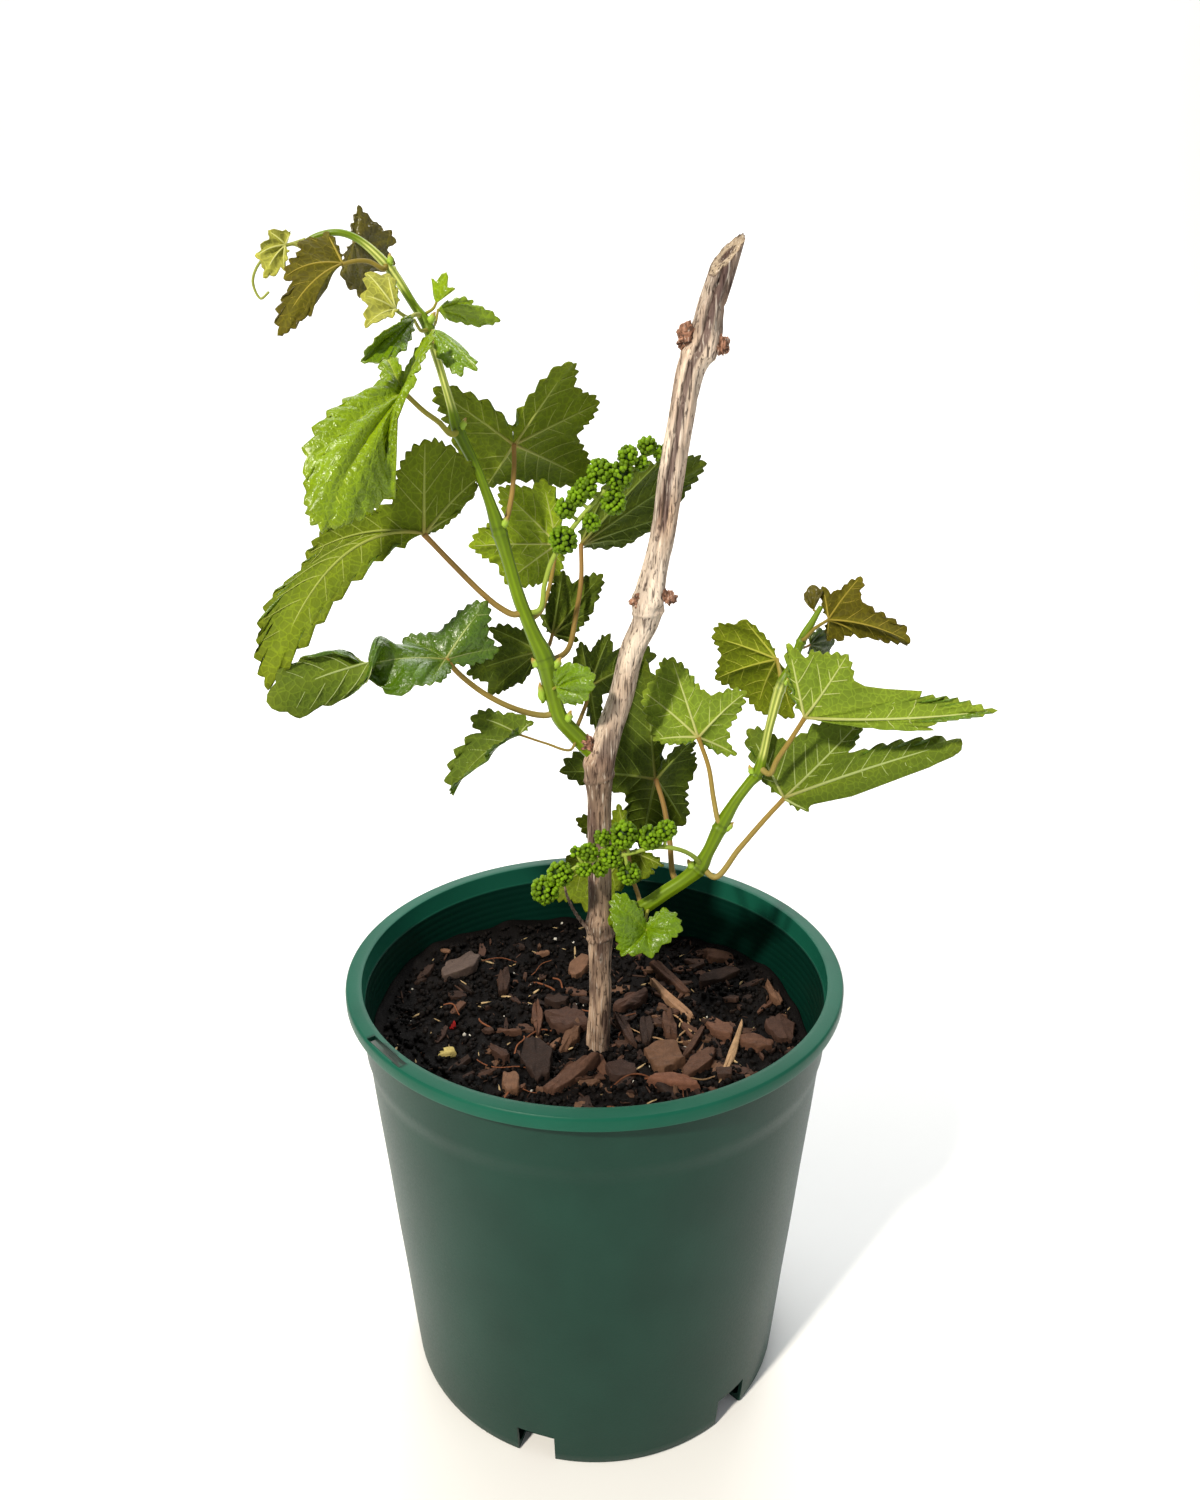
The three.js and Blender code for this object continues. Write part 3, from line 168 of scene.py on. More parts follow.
def frames_along(path: Array) -> tuple[Array, Array]:
    """Two directions square to a path at each point, carried along it with the least turn.

    The path bends little, so a fixed direction is made square to each tangent in turn.

    Args:
        path: Rows of points.

    Returns:
        Rows of the first direction and rows of the second.
    """
    tangent = unit(np.gradient(path, axis=0))
    first = np.empty_like(path)
    start = np.array([0.0, 1.0, 0.0]) if abs(tangent[0, 1]) < 0.9 else np.array([1.0, 0.0, 0.0])
    for i, t in enumerate(tangent):
        start = start - t * start.dot(t)
        start /= max(np.linalg.norm(start), 1e-9)
        first[i] = start
    return first, np.cross(tangent, first)


# Meshes


@dataclass
class Patch:
    """Points, faces and what goes with them, gathered before they become one mesh."""

    points: list[Array] = field(default_factory=list)
    faces: list[Array] = field(default_factory=list)
    slots: list[Array] = field(default_factory=list)
    tones: list[Array] = field(default_factory=list)
    count: int = 0

    def add(self, points: Array, faces: Array, slot: int | Array = 0,
            tone: Array | Sequence[float] = WHITE) -> None:
        """Adds a surface.

        Args:
            points: Rows of points, in millimetres.
            faces: Rows of three or four indices; -1 for a fourth makes a triangle too.
            slot: The material slot of every face, or one for all.
            tone: A linear colour at each point, or one for all.
        """
        points = points.reshape(-1, 3)
        if faces.shape[1] == 3:
            faces = np.hstack([faces, np.full((len(faces), 1), -1)])
        self.points.append(points)
        self.faces.append(np.where(faces >= 0, faces + self.count, -1))
        self.slots.append(np.broadcast_to(slot, len(faces)))
        self.tones.append(np.broadcast_to(np.asarray(tone, float), (len(points), 3)))
        self.count += len(points)

    def mesh(self, name: str) -> bpy.types.Mesh:
        """The gathered surfaces as one mesh in metres, smooth, with its colours as `tone`.

        Args:
            name: The mesh's name.

        Returns:
            The mesh.
        """
        points = np.vstack(self.points) * MM
        faces = np.vstack(self.faces)
        sizes = np.where(faces[:, 3] < 0, 3, 4)
        corners = faces[faces >= 0]
        mesh = bpy.data.meshes.new(name)
        mesh.vertices.add(len(points))
        mesh.vertices.foreach_set("co", points.ravel())
        mesh.loops.add(len(corners))
        mesh.loops.foreach_set("vertex_index", corners.astype(np.int32))
        mesh.polygons.add(len(faces))
        starts = np.concatenate([[0], np.cumsum(sizes)[:-1]])
        mesh.polygons.foreach_set("loop_start", starts.astype(np.int32))
        mesh.polygons.foreach_set("material_index", np.concatenate(self.slots).astype(np.int32))
        mesh.polygons.foreach_set("use_smooth", np.ones(len(faces), bool))
        mesh.update(calc_edges=True)
        tone = mesh.attributes.new("tone", "FLOAT_COLOR", "POINT")
        rgba = np.hstack([np.vstack(self.tones), np.ones((len(points), 1))])
        tone.data.foreach_set("color", rgba.ravel())
        mesh.validate()
        return mesh

    def build(self, name: str, materials: Sequence[bpy.types.Material], node_slot: str,
              *replaced: str) -> bpy.types.Object:
        """Makes the object, at the origin with its place in its mesh, and puts it on the frame.

        Args:
            name: The piece's name.
            materials: Its materials, in the order of the slots.
            node_slot: The record's material slot that the piece stands for; not used.
            replaced: CAD nodes that the piece is shown in place of.

        Returns:
            The object.
        """
        mesh = self.mesh(name)
        for material in materials:
            mesh.materials.append(material)
        piece = bpy.data.objects.new(name, mesh)
        bpy.context.scene.collection.objects.link(piece)
        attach(piece, "root")
        if replaced:
            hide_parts(*replaced)
        log.info("%s: %d faces", name, len(mesh.polygons))
        return piece


def grid_faces(rows: int, columns: int, closed: bool = False, flip: bool = False) -> Array:
    """Quads of a grid of points, row after row.

    Args:
        rows: Rows of the grid.
        columns: Points in a row.
        closed: Joins the last column to the first.
        flip: Turns the faces over.

    Returns:
        Rows of four indices.
    """
    r = np.arange(rows - 1)[:, None] * columns
    c = np.arange(columns if closed else columns - 1)[None, :]
    after = (c + 1) % columns
    quads = np.stack([r + c, r + after, r + columns + after, r + columns + c], -1).reshape(-1, 4)
    return quads[:, ::-1] if flip else quads


def closed_faces(rows: int, sides: int, flip: bool = False) -> Array:
    """Faces of closed rings of points, and of fans to a pole at each end.

    Args:
        rows: Number of rings. The first ring's pole is the point after them, the last one's follows.
        sides: Points in a ring.
        flip: Turns the faces over.

    Returns:
        Rows of four indices, with -1 for the fourth of a triangle.
    """
    k = np.arange(sides)
    after, last, pole = (k + 1) % sides, (rows - 1) * sides, np.full(sides, rows * sides)
    fans = np.vstack([np.stack([pole, after, k], -1), np.stack([pole + 1, last + k, last + after], -1)])
    fans = np.hstack([fans[:, [0, 2, 1]] if flip else fans, np.full((2 * sides, 1), -1)])
    return np.vstack([grid_faces(rows, sides, closed=True, flip=flip), fans])


def tube(patch: Patch, path: Array, radius: Array, sides: int, slot: int = 0,
         tone: Array | Sequence[float] = WHITE) -> None:
    """Adds a closed round bar: a circle of the given radius carried along a path.

    Args:
        patch: Where it goes.
        path: Rows of points.
        radius: The radius at each point, or rows of radii round each point.
        sides: Points round it.
        slot: Its material slot.
        tone: A colour for all, one row for each point of the path, or one for each point round it.
    """
    first, second = frames_along(path)
    turn = np.arange(sides) / sides * math.tau
    reach = np.broadcast_to(np.asarray(radius, float).reshape(len(path), -1), (len(path), sides))
    ring = first[:, None] * np.cos(turn)[None, :, None] + second[:, None] * np.sin(turn)[None, :, None]
    body = path[:, None] + ring * reach[..., None]
    points = np.vstack([body.reshape(-1, 3), path[:1], path[-1:]])
    shade = np.asarray(tone, float)
    if shade.ndim == 2:
        each = np.repeat(shade, sides, axis=0) if len(shade) == len(path) else shade
        shade = np.vstack([each, shade[:1], shade[-1:]])
    patch.add(points, closed_faces(len(path), sides), slot, shade)


def scatter(patch: Patch, shape: tuple[Array, Array], middles: Array, axes: Array,
            tones: Array | Sequence[float], slot: int = 0) -> None:
    """Adds many copies of a small closed shape at once.

    Args:
        patch: Where they go.
        shape: The shape's points and triangles, about its own middle.
        middles: One row for each copy.
        axes: For each copy, three rows that the shape's x, y and z become.
        tones: A colour for all, or one row for each copy.
        slot: Their material slot.
    """
    points, faces = shape
    placed = np.einsum("vk,nkj->nvj", points, axes) + middles[:, None]
    many = faces[None] + (np.arange(len(middles)) * len(points))[:, None, None]
    tones = np.asarray(tones, float)
    if tones.ndim == 2:
        tones = np.repeat(tones, len(points), axis=0)
    patch.add(placed, many.reshape(-1, faces.shape[1]), slot, tones)


def ball(sides: int, rings: int) -> tuple[Array, Array]:
    """A closed ball of radius one from rings of points and two poles.

    Args:
        sides: Points in a ring.
        rings: Number of rings.

    Returns:
        Its points and its triangles.
    """
    polar = (np.arange(1, rings + 1) / (rings + 1) * math.pi)[:, None]
    turn = (np.arange(sides) / sides * math.tau)[None, :]
    out = np.sin(polar)
    body = np.stack([out * np.cos(turn), out * np.sin(turn), np.cos(polar) + 0 * turn], -1)
    points = np.vstack([body.reshape(-1, 3), [[0, 0, 1], [0, 0, -1]]])
    faces = closed_faces(rings, sides, flip=True)
    quads, fans = faces[:-2 * sides], faces[-2 * sides:, :3]
    return points, np.vstack([quads[:, [0, 1, 2]], quads[:, [0, 2, 3]], fans])


def random_turns(rng: np.random.Generator, count: int) -> Array:
    """Random rotation matrices, from random unit quaternions.

    Args:
        rng: Where the draws come from.
        count: How many.

    Returns:
        One matrix each.
    """
    q = unit(rng.normal(size=(count, 4)))
    w, x, y, z = q.T
    rows = [1 - 2 * (y * y + z * z), 2 * (x * y - z * w), 2 * (x * z + y * w),
            2 * (x * y + z * w), 1 - 2 * (x * x + z * z), 2 * (y * z - x * w),
            2 * (x * z - y * w), 2 * (y * z + x * w), 1 - 2 * (x * x + y * y)]
    return np.stack(rows, -1).reshape(count, 3, 3)


# Materials


def colour(code: str) -> tuple[float, float, float, float]:
    """A linear colour from an sRGB hex value.

    Args:
        code: The value, such as "#4c3529".

    Returns:
        Red, green and blue, with 1 for opaque.
    """
    parts = [int(code.lstrip("#")[i:i + 2], 16) / 255 for i in (0, 2, 4)]
    linear = [v / 12.92 if v <= 0.04045 else ((v + 0.055) / 1.055) ** 2.4 for v in parts]
    return (linear[0], linear[1], linear[2], 1.0)


def rgb(code: str) -> Array:
    """Red, green and blue of a linear colour as an array."""
    return np.array(colour(code)[:3])


def node(tree: bpy.types.NodeTree, kind: str, settings: dict[str, Any] | None = None,
         links: dict[Any, Any] | None = None, **values: Any) -> bpy.types.Node:
    """Adds one node.

    Args:
        tree: The material's tree.
        kind: The node's type, without the words ShaderNode.
        settings: Its own properties.
        links: For each input, by name or number, the socket that feeds it.
        values: Values of its inputs, with underscores for spaces.

    Returns:
        The node.
    """
    made = tree.nodes.new("ShaderNode" + kind)
    for key, value in (settings or {}).items():
        setattr(made, key, value)
    for key, value in values.items():
        made.inputs[key.replace("_", " ")].default_value = value
    for key, socket in (links or {}).items():
        tree.links.new(socket, made.inputs[key])
    return made


def toned(tree: bpy.types.NodeTree, factor: bpy.types.NodeSocket, low: float,
          high: float) -> bpy.types.NodeSocket:
    """The piece's own colour from its `tone` attribute, made darker and lighter by a factor.

    Args:
        tree: The material's tree.
        factor: 0 to 1.
        low: What the colour is multiplied by where the factor is 0.
        high: The same where it is 1.

    Returns:
        The colour's socket.
    """
    own = node(tree, "Attribute", {"attribute_name": "tone"}).outputs["Color"]
    share = node(tree, "MapRange", links={"Value": factor}, To_Min=low, To_Max=high)
    return node(tree, "VectorMath", {"operation": "SCALE"}, {0: own, "Scale": share.outputs[0]}).outputs[0]


def noise(tree: bpy.types.NodeTree, size_mm: float, detail: float = 2.0,
          stretch: Point = EVEN) -> bpy.types.NodeSocket:
    """Noise on object coordinates.

    Args:
        tree: The material's tree.
        size_mm: How far its cells are across.
        detail: Number of finer layers.
        stretch: What the coordinates are multiplied by on each axis.

    Returns:
        Its factor's socket.
    """
    place = node(tree, "TexCoord").outputs["Object"]
    mapped = node(tree, "Mapping", links={"Vector": place}, Scale=stretch)
    made = node(tree, "TexNoise", links={"Vector": mapped.outputs[0]}, Scale=1 / (MM * size_mm),
                Detail=detail)
    return made.outputs["Fac"]


@dataclass(frozen=True)
class Finish:
    """A finish: its material, how it was made and the sizes of its patterns in millimetres."""

    name: str
    roughness: tuple[float, float]
    mottle_mm: float
    mottle: tuple[float, float]
    grain_mm: float
    grain_depth_mm: float
    stretch: Point = EVEN
    ior: float = 1.45
    coat: float = 0.0
    specular: float = 0.2

    def start(self) -> tuple[bpy.types.Material, bpy.types.NodeTree, bpy.types.Node]:
        """Makes an empty material of this name.

        Returns:
            The material, its tree and its shader, which has its plain values.
        """
        material = bpy.data.materials.new(self.name)
        material.use_nodes = True
        tree = material.node_tree
        tree.nodes.clear()
        shader = node(tree, "BsdfPrincipled", IOR=self.ior, Coat_Weight=self.coat,
                      Coat_Roughness=COAT_ROUGHNESS, Specular_IOR_Level=self.specular)
        node(tree, "OutputMaterial", links={"Surface": shader.outputs[0]})
        return material, tree, shader

    def dress(self, shader: bpy.types.Node, base: bpy.types.NodeSocket, grain: bpy.types.NodeSocket,
              height: bpy.types.NodeSocket | None = None, raised: float = 1.0) -> None:
        """Feeds a shader its colour, a roughness that follows the grain, and a relief.

        Args:
            shader: The shader.
            base: The colour.
            grain: 0 to 1, from the lowest roughness to the highest.
            height: The relief's height; the grain where it is left out.
            raised: The relief's strength, less than 0 where it is sunk.
        """
        tree = shader.id_data
        smoothest, roughest = self.roughness
        gloss = node(tree, "MapRange", links={"Value": grain}, To_Min=smoothest, To_Max=roughest)
        bump = node(tree, "Bump", {"invert": raised < 0}, {"Height": height or grain},
                    Strength=abs(raised), Distance=self.grain_depth_mm * MM)
        fed = {"Base Color": base, "Roughness": gloss.outputs[0], "Normal": bump.outputs[0]}
        for name, socket in fed.items():
            tree.links.new(socket, shader.inputs[name])

    def build(self) -> bpy.types.Material:
        """Makes it: the tone attribute with mottling, roughness that varies, and a fine relief.

        Returns:
            The material.
        """
        material, tree, shader = self.start()
        patches, grain = (noise(tree, size, 3.0, self.stretch) for size in (self.mottle_mm, self.grain_mm))
        self.dress(shader, toned(tree, patches, *self.mottle), grain)
        return material


@dataclass(frozen=True)
class LeafFinish(Finish):
    """A leaf's skin: a net of fine veins that divides it into small cushions."""

    net_mm: float = 2.6
    fine_mm: float = 1.0
    line: float = 1.35
    line_width: float = 0.11
    fine_share: float = 0.35
    raised: float = 1.0

    def build(self) -> bpy.types.Material:
        """Makes it: cells of two sizes give the net, pale along its lines, with cushions between.

        Returns:
            The material.
        """
        material, tree, shader = self.start()
        place = node(tree, "TexCoord").outputs["Object"]
        wide, fine = (node(tree, "TexVoronoi", {"feature": "DISTANCE_TO_EDGE"}, {"Vector": place},
                           Scale=1 / (MM * size)).outputs[0] for size in (self.net_mm, self.fine_mm))
        lines = node(tree, "MapRange", {"interpolation_type": "SMOOTHSTEP"}, {"Value": wide},
                     From_Max=self.line_width, To_Min=1.0, To_Max=0.0)
        base = toned(tree, noise(tree, self.mottle_mm, 3.0), *self.mottle)
        pale = node(tree, "VectorMath", {"operation": "SCALE"}, {0: base}, Scale=self.line)
        mix = node(tree, "Mix", {"data_type": "RGBA"}, {0: lines.outputs[0], 6: base, 7: pale.outputs[0]})
        both = node(tree, "Math", {"operation": "MULTIPLY_ADD"}, {0: fine, 2: wide})
        both.inputs[1].default_value = self.fine_share
        self.dress(shader, mix.outputs[2], noise(tree, self.grain_mm), both.outputs[0], self.raised)
        return material


@dataclass(frozen=True)
class BarkFinish(Finish):
    """Dry bark of a vine: fibres and cracks that run along the cane, ashen on their ridges."""

    crack: str = "#33241f"
    speck_mm: float = 1.5
    ash: str = "#efe4d4"

    def build(self) -> bpy.types.Material:
        """Makes it: noise drawn out along the cane, dark in its lowest parts, ashen on its highest.

        Returns:
            The material.
        """
        material, tree, shader = self.start()
        fibre = noise(tree, self.grain_mm, 5.0, self.stretch)
        base = toned(tree, noise(tree, self.mottle_mm, 4.0, (1.0, 1.0, 0.45)), *self.mottle)
        spots = noise(tree, self.speck_mm, 3.0, (1.0, 1.0, 0.5))
        for source, start, end, low, high, code in (
                (fibre, 0.34, 0.47, 0.85, 0.0, self.crack), (fibre, 0.56, 0.72, 0.0, 0.55, self.ash),
                (spots, 0.3, 0.4, 0.7, 0.0, self.crack)):
            share = node(tree, "MapRange", {"interpolation_type": "SMOOTHSTEP"}, {"Value": source},
                         From_Min=start, From_Max=end, To_Min=low, To_Max=high)
            mix = node(tree, "Mix", {"data_type": "RGBA"}, {0: share.outputs[0], 6: base})
            mix.inputs[7].default_value = colour(code)
            base = mix.outputs[2]
        self.dress(shader, base, fibre)
        return material


# Polypropylene, moulded: a satin skin with faint haze where it was rubbed.
POT_PLASTIC = Finish("polypropylene_moulded", (0.3, 0.48), 38.0, (0.86, 1.12), 0.9, 0.03, ior=1.49,
                     specular=0.12)
# Composted bark and peat, moist: nearly black crumbs with browner ones between.
POTTING_MIX = Finish("composted_bark_moist", (0.5, 0.95), 5.0, (0.45, 1.7), 0.7, 0.5, specular=0.12)
# Pine bark, chipped: reddish brown plates with fine lengthwise fibres.
BARK_CHIP = Finish("pine_bark_chipped", (0.6, 0.9), 2.6, (0.5, 1.5), 0.7, 0.45)
# Perlite, expanded: white foamed grains, matt.
PERLITE = Finish("perlite_expanded", (0.8, 1.0), 2.0, (0.8, 1.1), 0.5, 0.15)
# Bark of last year's cane, weathered: fibres drawn out eleven times their width.
CANE_BARK = BarkFinish("vine_bark_weathered", (0.7, 0.98), 4.5, (0.42, 1.5), 0.8, 0.7,
                       stretch=(1.0, 1.0, 0.09))
# Skin of this year's shoot, waxy: smooth with faint ribs along it.
SHOOT_SKIN = Finish("green_shoot_skin", (0.34, 0.5), 7.0, (0.85, 1.15), 0.8, 0.08, stretch=(1.0, 1.0, 0.12),
                    specular=0.3)
# Upper skin of the leaf, waxy: glossy cushions with the net of veins sunk in.
LEAF_UPPER = LeafFinish("vine_leaf_upper_waxy", (0.2, 0.4), 14.0, (0.75, 1.2), 3.0, 0.6, coat=0.2, line=1.25,
                        specular=0.4)
# Underside of the leaf, downy: dull, with the net of veins raised.
LEAF_UNDER = LeafFinish("vine_leaf_underside_downy", (0.6, 0.85), 16.0, (0.85, 1.14), 3.0, 0.35, line=1.4,
                        raised=-1.0)
# Veins of the leaf, raised: pale and fleshy.
LEAF_VEIN = Finish("vine_leaf_vein", (0.45, 0.6), 6.0, (0.9, 1.1), 0.6, 0.03)
# Petiole, tinged by the sun: tan to pink over green.
PETIOLE = Finish("vine_petiole_skin", (0.42, 0.6), 8.0, (0.8, 1.2), 0.7, 0.06, stretch=(1.0, 1.0, 0.4))
# Flower buds before they open: matt green caps.
FLOWER_BUD = Finish("vine_flower_bud", (0.45, 0.62), 3.0, (0.85, 1.15), 0.5, 0.05)


# The pot


@dataclass
class Pot:
    """Round nursery pot: a leaning wall, a collar, a thin rolled rim and drain notches at its foot."""

    height: float = 180.0
    base_radius: float = 80.4
    top_radius: float = 94.8
    wall: float = 1.6
    floor: float = 2.0
    rim_radius: float = 100.0
    rim_height: float = 5.5
    rim_thickness: float = 1.6
    collar_from: float = 150.0
    collar_rise: float = 0.7
    step_below_rim: float = 8.0
    drains: int = 6
    drain_turn: float = 43.0
    drain_size: tuple[float, float] = (15.5, 14.0)
    drain_reach: float = 9.0
    tag_slot: Point = (-50.0, 22.0, 3.0)
    tag_radius: float = 97.0
    ridges_to: float = 134.0
    ridge_depth: float = 0.13
    ridge_pitch: float = 3.2
    sides: int = 288
    sharp_from: float = 35.0
    wall_green: str = "#18382e"
    # The rim's green is lighter as painted light on its top, and the inside's is darker as painted shade; the
    # plastic is one green.
    rim_green_lit: str = "#125240"
    inner_green_shaded: str = "#042a20"

    def lean(self, z: Array | float) -> Array | float:
        """Radius of the outer wall at a height: in a straight line from base to rim."""
        return self.base_radius + (self.top_radius - self.base_radius) * z / (self.height - self.rim_height)

    def profile(self) -> tuple[Array, Array]:
        """The wall's section from the middle of the base, out, up, over the rim and down inside.

        Returns:
            Rows of radius and height, and a colour for each.
        """
        top, under, step = self.height, self.height - self.rim_height, self.height - self.step_below_rim
        brim = top - self.rim_thickness
        out, rolled = self.rim_radius, self.rim_radius - self.rim_thickness
        collar, inner = self.lean(under) + self.collar_rise, self.lean(step) - self.wall
        foot = self.base_radius
        # The outer wall has the pot's own green; the rim is painted lighter as painted light, the inside
        # darker as painted shade.
        green, rim_lit, inside_shaded = map(rgb, (self.wall_green, self.rim_green_lit, self.inner_green_shaded))
        low = np.linspace(1.2, self.collar_from, 40)
        high = np.linspace(self.collar_from + 3, under, 8)
        rim = [(collar + 0.1, brim - 0.5), (collar + 0.5, brim - 0.2), (rolled - 0.3, brim - 0.2),
               (rolled, brim - 0.6), (rolled + 0.2, under + 0.1), (rolled + 0.5, under),
               (out - 0.6, under), (out - 0.2, under + 0.2), (out, under + 0.8), (out, top - 1.3),
               (out - 0.15, top - 0.6), (out - 0.6, top - 0.12), (out - 1.2, top)]
        lip = [(inner + 2.6, top), (inner + 1.2, top), (inner + 0.7, top - 0.3),
               (inner + 0.5, top - 0.9), (inner + 0.4, step + 0.1), (inner + 0.3, step - 0.1)]
        down = np.concatenate([np.linspace(step - 0.7, self.ridges_to + 2, 90),
                               np.linspace(self.ridges_to - 4, self.floor + 2, 12)])
        ridges = np.where(down > self.ridges_to,
                          self.ridge_depth * np.abs(np.sin(down * math.pi / self.ridge_pitch)), 0.0)
        parts = [
            (np.array([[0, 0], [foot - 8, 0], [foot - 1.2, 0], [foot - 0.5, 0.4]]), green),
            (np.stack([self.lean(low) + 0.05 * np.sin(low / 9.0), low], 1), green),
            (np.stack([self.lean(high) + self.collar_rise, high], 1), green),
            (np.array(rim), rim_lit), (np.array(lip), rim_lit),
            (np.stack([self.lean(down) - self.wall - ridges, down], 1), inside_shaded),
            (np.array([[self.lean(self.floor) - self.wall - 2, self.floor], [0, self.floor]]), inside_shaded),
        ]
        tones = np.vstack([np.broadcast_to(tone, (len(rows), 3)) for rows, tone in parts])
        return np.vstack([rows for rows, _ in parts]), tones

    def turned_wall(self) -> Patch:
        """The pot's closed skin: its section turned about the axis, with the two ends as poles.

        Returns:
            A patch that holds it.
        """
        rows, tones = self.profile()
        turn = np.arange(self.sides) / self.sides * math.tau
        ring = np.stack([np.cos(turn), np.sin(turn)], -1)
        middle = rows[1:-1]
        heights = np.broadcast_to(middle[:, None, 1:], (len(middle), self.sides, 1))
        body = np.concatenate([middle[:, None, :1] * ring[None], heights], -1)
        scuffs = rough(np.tile(turn / math.tau * 32, len(middle)), np.repeat(middle[:, 1] / 22, self.sides),
                       5, 3, 32)
        tone = np.repeat(tones[1:-1], self.sides, axis=0) * (1 + 0.07 * scuffs)[:, None]
        points = np.vstack([body.reshape(-1, 3), [[0, 0, rows[0, 1]], [0, 0, rows[-1, 1]]]])
        patch = Patch()
        patch.add(points, closed_faces(len(middle), self.sides), 0, np.vstack([tone, tones[:1], tones[-1:]]))
        return patch

    def cutters(self) -> Patch:
        """The drain notches and the slot for a tag, as boxes with their colour, to be cut away.

        Returns:
            A patch that holds them.
        """
        box = np.array([[x, y, z] for x in (-0.5, 0.5) for y in (-0.5, 0.5) for z in (-0.5, 0.5)])
        sides = np.array([[0, 1, 3, 2], [4, 6, 7, 5], [0, 4, 5, 1], [2, 3, 7, 6], [0, 2, 6, 4], [1, 5, 7, 3]])
        wide, tall = self.drain_size
        depth, below = self.drain_reach + 12, 6
        notch = ((wide, depth, tall + below),
                 (0, -(self.base_radius - self.drain_reach + depth / 2), (tall - below) / 2))
        cuts = [(*notch, self.drain_turn + k * 360 / self.drains) for k in range(self.drains)]
        turn, slot_wide, slot_deep = self.tag_slot
        cuts.append(((slot_wide, slot_deep, 6), (0, -self.tag_radius, self.height), turn))
        patch = Patch()
        for size, place, degrees in cuts:
            c, s = math.cos(math.radians(degrees)), math.sin(math.radians(degrees))
            spun = (box * size + place) @ np.array([[c, s, 0], [-s, c, 0], [0, 0, 1]])
            patch.add(spun, sides, 0, rgb(self.wall_green))
        return patch

    def build(self) -> None:
        """Makes the pot with its notches cut, and puts it in the CAD pot's place."""
        plastic = POT_PLASTIC.build()
        piece = self.turned_wall().build("pot_moulded", [plastic], "pot", "pot")
        cutter = bpy.data.objects.new("notches", self.cutters().mesh("notches"))
        cutter.data.materials.append(plastic)
        bpy.context.scene.collection.objects.link(cutter)
        cut = piece.modifiers.new("notches", "BOOLEAN")
        cut.operation, cut.solver, cut.use_self, cut.object = "DIFFERENCE", "EXACT", False, cutter
        bpy.context.view_layer.update()
        done = bpy.data.meshes.new_from_object(piece.evaluated_get(bpy.context.evaluated_depsgraph_get()))
        piece.modifiers.clear()
        piece.data = done
        done.name = "pot_moulded"
        # Corners that the cut made have no colour of their own yet: they are white.
        tones, places = np.empty(4 * len(done.vertices)), np.empty(3 * len(done.vertices))
        done.attributes["tone"].data.foreach_get("color", tones)
        done.vertices.foreach_get("co", places)
        tones, heights = tones.reshape(-1, 4), places.reshape(-1, 3)[:, 2]
        made = tones[:, :3].min(1) > 0.9
        # Cut corners above the base take the inside's darker green, which is painted shade.
        for within, code in ((heights < 0.1, self.wall_green), (heights >= 0.1, self.inner_green_shaded)):
            tones[made & within] = colour(code)
        done.attributes["tone"].data.foreach_set("color", tones.ravel())
        bpy.data.objects.remove(cutter)
        done.set_sharp_from_angle(angle=math.radians(self.sharp_from))


# The potting mix


